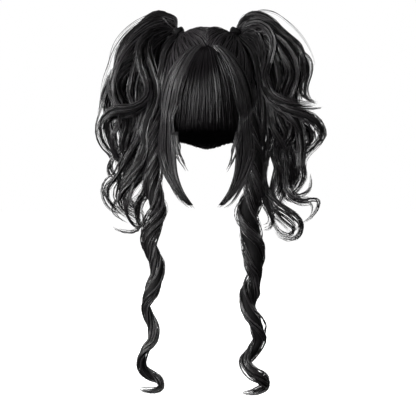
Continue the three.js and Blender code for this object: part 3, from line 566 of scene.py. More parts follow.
def square_to(axis, outwards):
    first = outwards - axis * (outwards @ axis)
    first = first / np.linalg.norm(first)
    return first, np.cross(axis, first)


def curve_through(points, count):
    """Evenly spaced points along a smooth curve through the given ones."""
    points = np.asarray(points, float)
    ends = np.vstack([2 * points[0] - points[1], points, 2 * points[-1] - points[-2]])
    knots = np.concatenate([[0.0], np.cumsum(np.linalg.norm(np.diff(ends, axis=0), axis=1) ** 0.5)])
    parts = []
    for i in range(1, len(ends) - 2):
        p = ends[i - 1:i + 3]
        k = knots[i - 1:i + 3]
        t = np.linspace(k[1], k[2], 14, endpoint=False)[:, None]
        a = [lerp(p[j], p[j + 1], (t - k[j]) / (k[j + 1] - k[j])) for j in range(3)]
        b = [lerp(a[j], a[j + 1], (t - k[j]) / (k[j + 2] - k[j])) for j in range(2)]
        parts.append(lerp(b[0], b[1], (t - k[1]) / (k[2] - k[1])))
    fine = np.vstack(parts + [points[-1:]])
    return resample(fine, count)


def resample(fine, count):
    lengths = np.concatenate([[0.0], np.cumsum(np.linalg.norm(np.diff(fine, axis=0), axis=1))])
    even = np.linspace(0.0, lengths[-1], count)
    return np.stack([np.interp(even, lengths, fine[:, k]) for k in range(fine.shape[1])], 1)


def lock_axes(way, facing):
    """The run of a lock, the direction its broad side faces and the direction across it."""
    run = unit(np.gradient(way, axis=0))
    out = unit(facing - run * (facing * run).sum(-1, keepdims=True))
    return run, out, np.cross(run, out)


def strands_in_lock(rng, way, facing, width, depth, count, steps, tufts=7, turns=0.0, sway=0.16, loose=0.05,
                    spare=0.1, parting=0.55, tuft_size=1.25):
    """Strands gathered in tufts inside a lock; towards the tip the tufts tighten and part from each other."""
    run, out, over = lock_axes(way, facing)
    tuft = np.arange(count) % tufts
    tuft_angle = 2 * np.pi * (np.arange(tufts) + rng.uniform(-0.3, 0.3, tufts)) * GOLDEN_SHARE
    tuft_reach = np.sqrt((np.arange(tufts) + 0.6) / tufts)
    own_angle = rng.uniform(0, 2 * np.pi, count)
    own_reach = np.sqrt(rng.uniform(0.0, 1.0, count))
    first = rng.uniform(0.0, 0.015, count)
    tuft_end = 1.0 - spare * rng.uniform(0.0, 1.0, tufts) ** 1.6
    last = tuft_end[tuft] - 0.35 * spare * rng.uniform(0.0, 1.0, count) ** 2
    bend = np.linalg.norm(np.gradient(run, axis=0), axis=1)
    bend = np.convolve(np.pad(bend, 3, mode="edge"), np.ones(7) / 7, mode="valid")
    pace = np.concatenate([[0.0], np.cumsum(bend[1:] + 0.5 * bend.mean())])
    pace = np.interp(np.linspace(0.0, 1.0, steps), pace / pace[-1], np.linspace(0.0, 1.0, len(way)))
    share = first[:, None] + (last - first)[:, None] * pace[None, :]
    place = share * (len(way) - 1)
    low = np.minimum(place.astype(int), len(way) - 2)
    mix = (place - low)[..., None]
    middle = lerp(way[low], way[low + 1], mix)
    outs = unit(lerp(out[low], out[low + 1], mix))
    overs = unit(lerp(over[low], over[low + 1], mix))
    wide = lerp(width[low], width[low + 1], mix[..., 0]) / 2
    deep = lerp(depth[low], depth[low + 1], mix[..., 0]) / 2
    gathered = smoothstep(share, 0.25, 0.85)
    parted = 0.8 + parting * smoothstep(share, 0.45, 1.0)
    turned = 2 * np.pi * turns * share
    angle = tuft_angle[tuft][:, None] + turned
    own = own_angle[:, None] + turned * 1.4
    u = tuft_reach[tuft][:, None] * np.cos(angle) * parted
    v = tuft_reach[tuft][:, None] * np.sin(angle) * parted
    grown = smoothstep(share, 0.04, 0.4)
    for rate in (1.3, 3.1):
        phases = rng.uniform(0, 2 * np.pi, (2, tufts))[:, tuft][..., None]
        u = u + sway * 1.3 / rate * np.sin(rate * 2 * np.pi * share + phases[0]) * grown
        v = v + sway * 1.3 / rate * np.sin(rate * 2 * np.pi * share + phases[1]) * grown
    for rate in (1.7, 4.0):
        swing = loose * 1.7 / rate * (1.0 + 3.0 * rng.uniform(0, 1, count) ** 5)
        phases = rng.uniform(0, 2 * np.pi, (2, count, 1))
        u = u + swing[:, None] * np.sin(rate * 2 * np.pi * share + phases[0]) * grown
        v = v + swing[:, None] * np.sin(rate * 2 * np.pi * share + phases[1]) * grown
    own_wide = own_reach[:, None] * lerp(np.minimum(wide, deep) * 0.25, tuft_size, gathered)
    ways = middle + overs * (u * wide + own_wide * np.cos(own))[..., None]
    ways = ways + outs * (v * deep + own_wide * np.sin(own))[..., None]
    return ways, outs, tuft


def strand_radii(rng, count, steps, radius, root=0.8, tip=0.2, spread=0.35):
    """How thick each strand is along its length: fuller in the middle, fine at the tip."""
    share = np.linspace(0.0, 1.0, steps)[None, :]
    full = radius * rng.uniform(1 - spread, 1 + spread, (count, 1))
    taper = 1.0 - (1.0 - tip) * share ** 5
    return full * lerp(root, 1.0, smoothstep(share, 0.0, 0.2)) * taper


class Strands:
    """Collects strands, given in millimetres, and makes them one mesh of slim closed tubes."""

    CORNERS = 3
    UV_SPREAD = 0.0016         # how far the strands of one tuft lie apart in the UV map
    UV_WIDTH = 0.001           # how wide a strand is there

    def __init__(self):
        self.points = []
        self.quads = []
        self.ends = []
        self.quad_uv = []
        self.end_uv = []
        self.size = 0

    def add(self, rng, ways, facings, tuft, radii, flat=0.8):
        count, steps, _ = ways.shape
        around = self.CORNERS
        run = unit(np.gradient(ways, axis=1))
        first = unit(facings - run * (facings * run).sum(-1, keepdims=True))
        second = np.cross(run, first)
        start = rng.uniform(0, 2 * np.pi, (count, 1))
        rings = []
        for corner in range(around):
            angle = start + 2 * np.pi * corner / around
            across = (radii * np.cos(angle))[..., None] * second
            rings.append(ways + across + (radii * flat * np.sin(angle))[..., None] * first)
        self.points.append(np.stack(rings, 2).reshape(-1, 3))
        base = self.size + (np.arange(count) * steps * around)[:, None, None]
        ring = base + (np.arange(steps - 1) * around)[None, :, None]
        corner = np.arange(around)[None, None, :]
        following = (corner + 1) % around
        upper, lower = ring + corner, ring + following
        quads = np.stack([upper, lower, lower + around, upper + around], -1)
        self.quads.append(quads.reshape(-1, 4))
        tip = base[:, 0, 0] + (steps - 1) * around
        root = base[:, 0, 0]
        self.ends.append(np.concatenate([
            np.stack([root + 2, root + 1, root], -1),
            np.stack([tip, tip + 1, tip + 2], -1),
        ]))
        own = rng.uniform(0.0, 1.0, tuft.max() + 1)[tuft][:, None, None]
        own = own + rng.normal(0.0, self.UV_SPREAD, (count, 1, 1))
        length = np.linalg.norm(np.diff(ways, axis=1), axis=2)
        along = np.concatenate([np.zeros((count, 1)), np.cumsum(length, axis=1)], 1) / METRE
        low = np.broadcast_to(along[:, :-1, None], (count, steps - 1, around))
        high = np.broadcast_to(along[:, 1:, None], (count, steps - 1, around))
        left = np.broadcast_to(own + corner / around * self.UV_WIDTH, low.shape)
        right = np.broadcast_to(own + (corner + 1) / around * self.UV_WIDTH, low.shape)
        uv = np.stack([left, low, right, low, right, high, left, high], -1)
        self.quad_uv.append(uv.reshape(-1, 2))
        flat_uv = np.repeat(np.stack([own[:, 0, 0], along[:, 0]], -1), 3, axis=0)
        tip_uv = np.repeat(np.stack([own[:, 0, 0], along[:, -1]], -1), 3, axis=0)
        self.end_uv.append(np.concatenate([flat_uv, tip_uv]))
        self.size += count * steps * around

    def make(self, name, material):
        points = np.concatenate(self.points) * MILLIMETRE
        quads = np.concatenate(self.quads)
        ends = np.concatenate(self.ends)
        mesh = bpy.data.meshes.new(name)
        mesh.vertices.add(len(points))
        mesh.vertices.foreach_set("co", points.astype(np.float32).ravel())
        corners = np.concatenate([quads.ravel(), ends.ravel()])
        mesh.loops.add(len(corners))
        mesh.loops.foreach_set("vertex_index", corners.astype(np.int32))
        starts = np.concatenate([np.arange(len(quads)) * 4, len(quads) * 4 + np.arange(len(ends)) * 3])
        mesh.polygons.add(len(starts))
        mesh.polygons.foreach_set("loop_start", starts.astype(np.int32))
        mesh.update(calc_edges=True)
        layer = mesh.uv_layers.new(name="Strand")
        uv = np.concatenate(self.quad_uv + self.end_uv)
        layer.data.foreach_set("uv", uv.astype(np.float32).ravel())
        mesh.polygons.foreach_set("use_smooth", np.ones(len(starts), bool))
        mesh.materials.append(material)
        mesh.validate()
        piece = bpy.data.objects.new(name, mesh)
        bpy.context.scene.collection.objects.link(piece)
        return piece


def place_piece(piece, nodes):
    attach(piece, "root")
    if nodes:
        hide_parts(*nodes)
    return piece


def finish_bmesh(bm, name, material):
    """Turns a bmesh, in millimetres, into an object at the origin in metres."""
    bmesh.ops.scale(bm, vec=Vector((MILLIMETRE, MILLIMETRE, MILLIMETRE)), verts=bm.verts)
    mesh = bpy.data.meshes.new(name)
    bm.to_mesh(mesh)
    bm.free()
    mesh.polygons.foreach_set("use_smooth", np.ones(len(mesh.polygons), bool))
    mesh.materials.append(material)
    piece = bpy.data.objects.new(name, mesh)
    bpy.context.scene.collection.objects.link(piece)
    return piece


def bridge_rings(bm, way, facing, width, depth, segments=10):
    """A closed lock: circles set along its way and bridged, with its two ends filled."""
    run, out, over = lock_axes(way, facing)
    previous = None
    rims = []
    for j in range(len(way)):
        place = Matrix.Identity(4)
        for row in range(3):
            place[row][0] = over[j][row] * width[j] / 2
            place[row][1] = out[j][row] * depth[j] / 2
            place[row][2] = run[j][row]
            place[row][3] = way[j][row]
        made = bmesh.ops.create_circle(bm, cap_ends=False, segments=segments, radius=1.0, matrix=place)
        ring = list({edge for vert in made["verts"] for edge in vert.link_edges})
        if previous is not None:
            bmesh.ops.bridge_loops(bm, edges=previous + ring)
        if j in (0, len(way) - 1):
            rims.append(list(ring))
        previous = ring
    for rim in rims:
        bmesh.ops.holes_fill(bm, edges=rim, sides=0)


def mapped_grid(bm, columns, rows, place, closed=False):
    """A grid laid over the surface that place(u, v) gives, with u and v kept as its UV map."""
    bmesh.ops.create_grid(bm, x_segments=columns, y_segments=rows, size=0.5, calc_uvs=False)
    bm.verts.ensure_lookup_table()
    flat = np.array([vert.co[:2] for vert in bm.verts]) + 0.5
    layer = bm.loops.layers.uv.new("Strand")
    for face in bm.faces:
        for loop in face.loops:
            loop[layer].uv = (loop.vert.co.x + 0.5, loop.vert.co.y + 0.5)
    for vert, point in zip(bm.verts, place(flat[:, 0], flat[:, 1])[0]):
        vert.co = point
    if closed:
        bmesh.ops.remove_doubles(bm, verts=bm.verts, dist=0.01)


def shell(bm, thickness, inside):
    """Gives a sheet its thickness, away from the side it is seen from."""
    bmesh.ops.recalc_face_normals(bm, faces=bm.faces)
    middle = Vector(inside)
    outward = sum(
        (face.calc_center_median() - middle).dot(face.normal) * face.calc_area() for face in bm.faces)
    if outward < 0:
        bmesh.ops.reverse_faces(bm, faces=bm.faces)
    bmesh.ops.solidify(bm, geom=list(bm.faces), thickness=thickness)
    bmesh.ops.recalc_face_normals(bm, faces=bm.faces)


# The fibre's coat and how far its roughness changes along the streaks
COAT_ROUGHNESS = 0.36
ROUGHNESS_SPREAD = 0.2


def add_math(nodes, operation, value=None):
    node = nodes.new("ShaderNodeMath")
    node.operation = operation
    if value is not None:
        node.inputs[1].default_value = value
    return node


def add_noise(nodes, scale, detail, roughness=0.5):
    node = nodes.new("ShaderNodeTexNoise")
    node.inputs["Scale"].default_value = scale
    node.inputs["Detail"].default_value = detail
    node.inputs["Roughness"].default_value = roughness
    return node


def add_bands(nodes, scale, distortion):
    node = nodes.new("ShaderNodeTexWave")
    node.bands_direction = "Z"
    node.inputs["Scale"].default_value = scale
    node.inputs["Distortion"].default_value = distortion
    return node


def add_range(nodes, low, high):
    node = nodes.new("ShaderNodeMapRange")
    node.inputs["From Min"].default_value = low
    node.inputs["From Max"].default_value = high
    return node


def add_bump(nodes, strength, distance):
    node = nodes.new("ShaderNodeBump")
    node.inputs["Strength"].default_value = strength
    node.inputs["Distance"].default_value = distance
    return node


def add_tones(nodes, colour, dark_share, light_share):
    """A mix between a darker and a lighter tone of one colour."""
    node = nodes.new("ShaderNodeMix")
    node.data_type = "RGBA"
    node.inputs["A"].default_value = (*(dark_share * c for c in colour), 1.0)
    node.inputs["B"].default_value = (*(light_share * c for c in colour), 1.0)
    return node


def streak_group():
    """Streaks along a strand or a comb line: a tone, a roughness and a height from a UV map."""
    name = "Hair streaks"
    if name in bpy.data.node_groups:
        return bpy.data.node_groups[name]
    group = bpy.data.node_groups.new(name, "ShaderNodeTree")
    face = group.interface
    face.new_socket("Strand", in_out="INPUT", socket_type="NodeSocketVector")
    for label in ("Fineness", "Length Scale", "Roughness", "Roughness Spread"):
        face.new_socket(label, in_out="INPUT", socket_type="NodeSocketFloat")
    for label in ("Dark", "Light"):
        face.new_socket(label, in_out="INPUT", socket_type="NodeSocketColor")
    face.new_socket("Color", in_out="OUTPUT", socket_type="NodeSocketColor")
    for label in ("Roughness", "Sheen", "Height"):
        face.new_socket(label, in_out="OUTPUT", socket_type="NodeSocketFloat")
    nodes, link = group.nodes, group.links.new
    entry = nodes.new("NodeGroupInput")
    leave = nodes.new("NodeGroupOutput")
    split = nodes.new("ShaderNodeSeparateXYZ")
    across = add_math(nodes, "MULTIPLY")
    along = add_math(nodes, "MULTIPLY")
    joined = nodes.new("ShaderNodeCombineXYZ")
    fine = add_noise(nodes, 1.0, 3.0, 0.6)
    broad = add_noise(nodes, 0.13, 2.0)
    mixed = add_math(nodes, "MULTIPLY_ADD", 0.6)
    tone = add_range(nodes, 0.55, 1.05)
    glint = add_range(nodes, 0.42, 0.64)
    colour = nodes.new("ShaderNodeMix")
    colour.data_type = "RGBA"
    centred = add_math(nodes, "SUBTRACT", 0.5)
    rough = add_math(nodes, "MULTIPLY_ADD")
    link(entry.outputs["Strand"], split.inputs[0])
    link(split.outputs["X"], across.inputs[0])
    link(entry.outputs["Fineness"], across.inputs[1])
    link(split.outputs["Y"], along.inputs[0])
    link(entry.outputs["Length Scale"], along.inputs[1])
    link(across.outputs[0], joined.inputs["X"])
    link(along.outputs[0], joined.inputs["Y"])
    link(joined.outputs[0], fine.inputs["Vector"])
    link(joined.outputs[0], broad.inputs["Vector"])
    link(broad.outputs["Fac"], mixed.inputs[0])
    link(fine.outputs["Fac"], mixed.inputs[2])
    link(mixed.outputs[0], tone.inputs["Value"])
    link(tone.outputs["Result"], colour.inputs["Factor"])
    link(entry.outputs["Dark"], colour.inputs["A"])
    link(entry.outputs["Light"], colour.inputs["B"])
    link(fine.outputs["Fac"], centred.inputs[0])
    link(centred.outputs[0], rough.inputs[0])
    link(entry.outputs["Roughness Spread"], rough.inputs[1])
    link(entry.outputs["Roughness"], rough.inputs[2])
    link(fine.outputs["Fac"], glint.inputs["Value"])
    link(colour.outputs["Result"], leave.inputs["Color"])
    link(rough.outputs[0], leave.inputs["Roughness"])
    link(glint.outputs["Result"], leave.inputs["Sheen"])
    link(fine.outputs["Fac"], leave.inputs["Height"])
    return group


def new_material(name):
    material = bpy.data.materials.new(name)
    material.use_nodes = True
    shader = material.node_tree.nodes["Principled BSDF"]
    return material, material.node_tree.nodes, material.node_tree.links.new, shader


def hair_material(name, dark, light, roughness, specular, coat_ior=None, fineness=300.0, length_scale=14.0,
                  relief=0.0002):
    """Near-black fibre with streaks that follow the strands' own UV map, coated where a coat's IOR is given."""
    if name in bpy.data.materials:
        return bpy.data.materials[name]
    material, nodes, link, shader = new_material(name)
    where = nodes.new("ShaderNodeUVMap")
    where.uv_map = "Strand"
    streaks = nodes.new("ShaderNodeGroup")
    streaks.node_tree = streak_group()
    streaks.inputs["Fineness"].default_value = fineness
    streaks.inputs["Length Scale"].default_value = length_scale
    streaks.inputs["Roughness"].default_value = roughness
    streaks.inputs["Roughness Spread"].default_value = ROUGHNESS_SPREAD
    streaks.inputs["Dark"].default_value = (*dark, 1.0)
    streaks.inputs["Light"].default_value = (*light, 1.0)
    bump = add_bump(nodes, 0.6, relief)
    link(where.outputs["UV"], streaks.inputs["Strand"])
    link(streaks.outputs["Color"], shader.inputs["Base Color"])
    link(streaks.outputs["Roughness"], shader.inputs["Roughness"])
    link(streaks.outputs["Height"], bump.inputs["Height"])
    link(bump.outputs["Normal"], shader.inputs["Normal"])
    shader.inputs["Specular IOR Level"].default_value = specular
    if coat_ior:
        link(streaks.outputs["Sheen"], shader.inputs["Coat Weight"])
        shader.inputs["Coat Roughness"].default_value = COAT_ROUGHNESS
        shader.inputs["Coat IOR"].default_value = coat_ior
    return material


def under_material(name, colour):
    """The shaded hair inside a lock, with a coarse grain that runs down it."""
    if name in bpy.data.materials:
        return bpy.data.materials[name]
    material, nodes, link, shader = new_material(name)
    where = nodes.new("ShaderNodeTexCoord")
    stretch = nodes.new("ShaderNodeMapping")
    stretch.inputs["Scale"].default_value = (900.0, 900.0, 45.0)
    grain = add_noise(nodes, 1.0, 2.0)
    tone = add_tones(nodes, colour, 0.5, 1.4)
    bump = add_bump(nodes, 0.8, 0.0008)
    link(where.outputs["Object"], stretch.inputs["Vector"])
    link(stretch.outputs["Vector"], grain.inputs["Vector"])
    link(grain.outputs["Fac"], tone.inputs["Factor"])
    link(tone.outputs["Result"], shader.inputs["Base Color"])
    link(grain.outputs["Fac"], bump.inputs["Height"])
    link(bump.outputs["Normal"], shader.inputs["Normal"])
    shader.inputs["Roughness"].default_value = 0.7
    shader.inputs["Specular IOR Level"].default_value = 0.2
    return material


def net_material(name, colour):
    """Stretch net: a fine mesh of crossed threads with a sewn band of hair every few millimetres."""
    material, nodes, link, shader = new_material(name)
    where = nodes.new("ShaderNodeTexCoord")
    heights = []
    for turn in (math.radians(45), math.radians(-45)):
        weave = nodes.new("ShaderNodeMapping")
        weave.inputs["Rotation"].default_value = (0.0, turn, 0.35)
        threads = add_bands(nodes, 180.0, 0.4)
        link(where.outputs["Object"], weave.inputs["Vector"])
        link(weave.outputs["Vector"], threads.inputs["Vector"])
        heights.append(threads.outputs["Fac"])
    bands = add_bands(nodes, 32.0, 0.6)
    link(where.outputs["Object"], bands.inputs["Vector"])
    mesh_height = add_math(nodes, "MAXIMUM")
    link(heights[0], mesh_height.inputs[0])
    link(heights[1], mesh_height.inputs[1])
    height = add_math(nodes, "MULTIPLY_ADD", 1.6)
    link(bands.outputs["Fac"], height.inputs[0])
    link(mesh_height.outputs[0], height.inputs[2])
    bump = add_bump(nodes, 0.7, 0.0006)
    tone = add_tones(nodes, colour, 0.35, 1.3)
    link(height.outputs[0], bump.inputs["Height"])
    link(bump.outputs["Normal"], shader.inputs["Normal"])
    link(mesh_height.outputs[0], tone.inputs["Factor"])
    link(tone.outputs["Result"], shader.inputs["Base Color"])
    shader.inputs["Roughness"].default_value = 0.8
    shader.inputs["Specular IOR Level"].default_value = 0.3
    return material


def smooth_rows(rows, count):
    """Rows of points, the first axis running down, spread to a count by a smooth curve down them."""
    rows = np.asarray(rows, float)
    ends = np.concatenate([2 * rows[:1] - rows[1:2], rows, 2 * rows[-1:] - rows[-2:-1]])
    place = np.linspace(0, len(rows) - 1, count)
    low = np.minimum(place.astype(int), len(rows) - 2)
    t = (place - low).reshape((-1,) + (1,) * (rows.ndim - 1))
    a, b, c, d = ends[low], ends[low + 1], ends[low + 2], ends[low + 3]
    return 0.5 * (2 * b + (c - a) * t + (2 * a - 5 * b + 4 * c - d) * t * t + (3 * b - a - 3 * c + d) * t ** 3)


class Sheet:
    """A sheet of hair as a fine grid of points: u runs across it, v from root to tip."""

    def __init__(self, rows, outward):
        self.points = np.asarray(rows, float)
        down = np.gradient(self.points, axis=0)
        over = np.gradient(self.points, axis=1)
        normals = unit(np.cross(down, over))
        if (normals * outward(self.points)).sum() < 0:
            normals = -normals
        self.normals = normals

    def at(self, u, v, lift=0.0):
        rows, columns, _ = self.points.shape
        x = np.clip(u, 0.0, 1.0) * (columns - 1)
        y = np.clip(v, 0.0, 1.0) * (rows - 1)
        i = np.minimum(x.astype(int), columns - 2)
        j = np.minimum(y.astype(int), rows - 2)
        s, t = (x - i)[..., None], (y - j)[..., None]
        found = []
        for grid in (self.points, self.normals):
            upper = lerp(grid[j, i], grid[j, i + 1], s)
            lower = lerp(grid[j + 1, i], grid[j + 1, i + 1], s)
            found.append(lerp(upper, lower, t))
        normal = unit(found[1])
        return found[0] + normal * np.asarray(lift)[..., None], normal


def strands_on_sheet(rng, sheet, count, steps, tufts, lift, own_lift, tight, drift, end_spread, wrap=False,
                     edge_sink=0.0):
    """Strands laid down a sheet in tufts, each tuft with its own height and a little drift across."""
    share = np.linspace(0.0, 1.0, steps)[None, :]
    tuft_u = (np.arange(tufts) + rng.uniform(0.2, 0.8, tufts)) / tufts
    tuft_lift = rng.uniform(lift[0], lift[1], tufts)
    tuft = np.arange(count) % tufts
    own = rng.normal(0.0, 0.3, count) / tufts
    rng.uniform(0, 1, count)    # unused: the later draws keep their order by it
    own_end = rng.uniform(0, 1, count) ** 1.3
    tuft_end = rng.uniform(0, 1, tufts)[tuft]
    v = (1.0 - end_spread * own_end[:, None] - 0.4 * end_spread * tuft_end[:, None]) * share
    phase = rng.uniform(0, 2 * np.pi, (2, tufts))[:, tuft][..., None]
    sway = drift / tufts * (np.sin(2.5 * v * np.pi + phase[0]) + 0.5 * np.sin(6 * v * np.pi + phase[1]))
    u = tuft_u[tuft][:, None] + own[:, None] * (1.0 - tight * smoothstep(v, 0.4, 1.0))
    u = u + sway * smoothstep(v, 0.0, 0.25)
    u = u % 1.0 if wrap else np.clip(u, 0.0, 1.0)
    height = tuft_lift[tuft][:, None] * smoothstep(v, 0.0, 0.15)
    height = height + rng.uniform(-own_lift, own_lift, count)[:, None]
    crowned = 1.0 - np.minimum(1.0, np.abs(own[:, None]) * tufts / 0.7) ** 2
    height = height + 0.2 * np.sin(5 * np.pi * v + phase[1]) + 0.8 * (crowned - 1.0)
    edges = smoothstep(u, 0.14, 0.0) + smoothstep(u, 0.86, 1.0)
    height = height - edge_sink * edges * smoothstep(v, 0.7, 0.4)
    ways, facings = sheet.at(u, v, height)
    return ways, facings, tuft


def comb_rows(side):
    """The combed hair of one side as rows from where it starts up to the tie, closed round the tie."""
    place = np.linspace(0.0, 1.0, 161)
    face = level_direction(0.0, cap_edge_drop(0.0))
    nape = level_direction(math.pi, cap_edge_drop(math.pi))
    back, front = math.atan2(-nape[1], nape[2]), math.atan2(-face[1], face[2])
    angle = lerp(back, front, np.minimum(place / PARTING_SHARE, 1.0))
    parted = np.stack([0.0 * angle, -np.sin(angle), np.cos(angle)], -1)
    turn = np.clip((place - PARTING_SHARE) / (1.0 - PARTING_SHARE), 0.0, 1.0) * math.pi
    edge = level_direction(turn, cap_edge_drop(turn))
    edge[:, 0] *= SIDES[side]
    parting = (place <= PARTING_SHARE)[:, None]
    start = np.where(parting, parted, edge)
    axis, seat, middle = tie_place(side)
    radius = (HOLLOW_WIDTH + HOLLOW_DEPTH) / 4
    angle_to_tie = np.arccos(np.clip((start * axis).sum(-1), -1, 1))
    rows = []
    for share in np.linspace(0.0, 0.84, 16):
        way = slerp(start, np.broadcast_to(axis, start.shape), share)
        reach = share * angle_to_tie * radius
        dip = np.where(parting[:, 0], 0.5 * PARTING_DIP * (1 - smoothstep(reach, 0.0, PARTING_SLOPE)), 0.0)
        risen = np.where(parting[:, 0], 1.0, smoothstep(reach, 0.0, PARTING_SLOPE))
        out = lerp(CAP_WALL + SEAT_GAP + HAIR_EDGE, hair_out(way) - dip, risen)
        points = on_hollow(way, out)
        points[:, 0] -= SIDES[side] * 0.5 * (1 - share)
        rows.append(points)
    outwards, across = square_to(axis, np.array([SIDES[side], 0.0, 0.0]))
    away = on_hollow(start, 0.0) - seat
    round_tie = np.arctan2(away @ across, away @ outwards)
    for centre, reach in (
        (seat - axis * 1.5, NECK_FLARE * 0.95),
        (seat + axis * 1.0, NECK_FLARE * 0.62),
        (middle - axis * (TIE_LENGTH / 2 + SEAT_GAP), NECK_RADIUS * 0.98),
        (middle - axis * SEAT_GAP, NECK_RADIUS * 0.9),
    ):
        spoke = np.cos(round_tie)[:, None] * outwards + np.sin(round_tie)[:, None] * across
        rows.append(centre + reach * spoke)
    return smooth_rows(rows, 90)


def crown_sheet(side):
    return Sheet(comb_rows(side), lambda points: points - np.array([0.0, 0.0, -CROWN_RISE]))


def fringe_reach(drop):
    share = np.clip((drop - FRINGE_ROOT) / (FRINGE_DROP - FRINGE_ROOT), 0.0, 1.0)
    apex = np.clip(1.0 + (drop - FRINGE_ROOT) / FRINGE_APEX, 0.12, 1.0)
    return apex * FRINGE_ROOT_HALF + (FRINGE_HALF - FRINGE_ROOT_HALF) * np.sin(np.pi / 2 * share ** 0.75)


def fringe_sheet():
    across = np.linspace(-1.0, 1.0, 61)
    rows = []
    for share in np.linspace(0.0, 1.0, 64):
        drop = lerp(FRINGE_ROOT - FRINGE_APEX, FRINGE_DROP, share ** 1.15)
        way = front_direction(across * fringe_reach(drop), drop)
        risen = smoothstep(drop, FRINGE_ROOT - FRINGE_APEX, FRINGE_ROOT + 16.0)
        stand = FRINGE_THICKNESS * lerp(-0.9, 1.0, risen)
        rows.append(on_hollow(way, hair_out(way) + LAYER_GAP + stand))
    return Sheet(rows, lambda points: np.array([0.0, -1.0, 0.3]))


def curtain_reach(drop):
    fall = np.clip((drop - FRINGE_ROOT) / (SIDE_DROP * SIDE_ROWS[0, 0] - FRINGE_ROOT), 0.0, 1.0)
    return FRINGE_ROOT_HALF + (SIDE_HALF * SIDE_ROWS[0, 2] - FRINGE_ROOT_HALF) * np.sin(np.arccos(1 - fall))


def side_sheet(side):
    """A side lock's outside, from its root at the parting to its tip."""
    across = np.linspace(0.0, 1.0, 25)
    sign = SIDES[side]
    rows = []
    for j in range(9):
        drop = lerp(FRINGE_ROOT + 2.0, SIDE_DROP * SIDE_ROWS[0, 0], (j / 9) ** 1.5)
        inner = fringe_reach(drop) - 3.0 * smoothstep(drop, 60.0, 120.0)
        way = front_direction(sign * lerp(inner, curtain_reach(drop), across), drop)
        rows.append(on_hollow(way, hair_out(way) + LAYER_GAP + SIDE_THICKNESS * min(1.0, 0.45 + j / 4)))
    for drop, inner, outer, inner_forward, outer_forward in SIDE_ROWS:
        spread = SIDE_SPREAD * across * smoothstep(drop, 0.5, 0.7)
        x = sign * SIDE_HALF * (lerp(inner, outer, across) + spread)
        x = x + SIDE_SHIFT[side] * smoothstep(drop, 0.3, 0.6)
        forward = SIDE_FORWARD * lerp(inner_forward, outer_forward, across)
        stand = SIDE_THICKNESS * lerp(0.9, 0.1, smoothstep(drop, 0.8, 1.0))
        level = np.full_like(x, -drop * SIDE_DROP)
        rows.append(np.stack([x + sign * stand * 0.35, -forward - stand * 0.9, level], -1))
    return Sheet(smooth_rows(rows, 90), lambda points: np.array([sign * 0.5, -1.0, 0.0]))


def tendril_line(side):
    """A tendril's middle line with the way its broad side faces, its width and its thickness."""
    sign = SIDES[side]
    root_way = level_direction(TENDRIL_TURN, TENDRIL_ROOT) * np.array([sign, 1.0, 1.0])
    root = on_hollow(root_way, hair_out(root_way) + TENDRIL_THICKNESS * TENDRIL_ROOT_WIDTH / 3)
    table = np.array(TENDRIL_LINES[side])
    points = [root] + [np.array([sign * out, -TENDRIL_FORWARD, -drop]) for out, drop, _ in table]
    way = curve_through(points, TENDRIL_POINTS)
    share = np.linspace(0.0, 1.0, len(way))
    knots = np.cumsum(np.linalg.norm(np.diff(points, axis=0), axis=1))
    width = np.interp(share, np.concatenate([[0.0], knots]) / knots[-1], [9.0, *table[:, 2]])
    step = np.linalg.norm(np.gradient(way, axis=0), axis=1)
    lean = np.gradient(way[:, 0]) / np.maximum(step, 1e-6)
    lean = np.convolve(np.pad(lean, 5, mode="edge"), np.ones(11) / 11, mode="valid")
    way[:, 1] -= TENDRIL_SWING * lean * sign * smoothstep(share, 0.12, 0.3)
    facing = unit(np.stack([np.full(len(way), sign * 0.4), np.full(len(way), -1.0), np.zeros(len(way))], -1))
    return way, facing, 1.2 * width, 0.85 * width + 1.5


def tail_line(side, forward, width, path, behind=False):
    """One lock of a pigtail: from inside the tie along its path, with the depth of its curls."""
    axis, _, middle = tie_place(side)
    sign = SIDES[side]
    points = [middle + axis * 0.5, middle + axis * 5.0]
    for out, drop in path:
        points.append(np.array([sign * out, 0.0, -drop]))
    way = curve_through(points, TAIL_POINTS)
    share = np.linspace(0.0, 1.0, len(way))
    step = np.linalg.norm(np.gradient(way, axis=0), axis=1)
    lean = np.gradient(way[:, 0]) / np.maximum(step, 1e-6)
    lean = np.convolve(np.pad(lean, 4, mode="edge"), np.ones(9) / 9, mode="valid")
    curl = TAIL_CURL * lean * sign * smoothstep(share, 0.2, 0.45)
    reach = (-forward - TAIL_BACK_GAP) if behind else forward
    fade = 1.0 - 0.35 * smoothstep(share, 0.7, 1.0)
    way[:, 1] = -(reach * smoothstep(share, 0.01, 0.3) * fade + (-curl if behind else curl))
    if behind:
        heart = sign * TAIL_HEART
        way[:, 0] = lerp(way[:, 0], heart + (way[:, 0] - heart) * 0.9, smoothstep(share, 0.1, 0.4))
        way[:, 2] = way[:, 2] * 0.98 - 3.0 * np.sin(9 * share) * share
    facing = np.stack([(way[:, 0] - sign * TAIL_CORE) * 0.5, way[:, 1], np.zeros(len(way))], -1)
    facing += np.array([sign * 3.0, 0.0, 0.0])
    grown = smoothstep(share, 0.0, 0.14)
    taper = 1.0 - 0.5 * smoothstep(share, 0.6, 1.0)
    broad = lerp(7.0, width, grown) * taper
    return way, unit(facing), broad, broad * 0.62


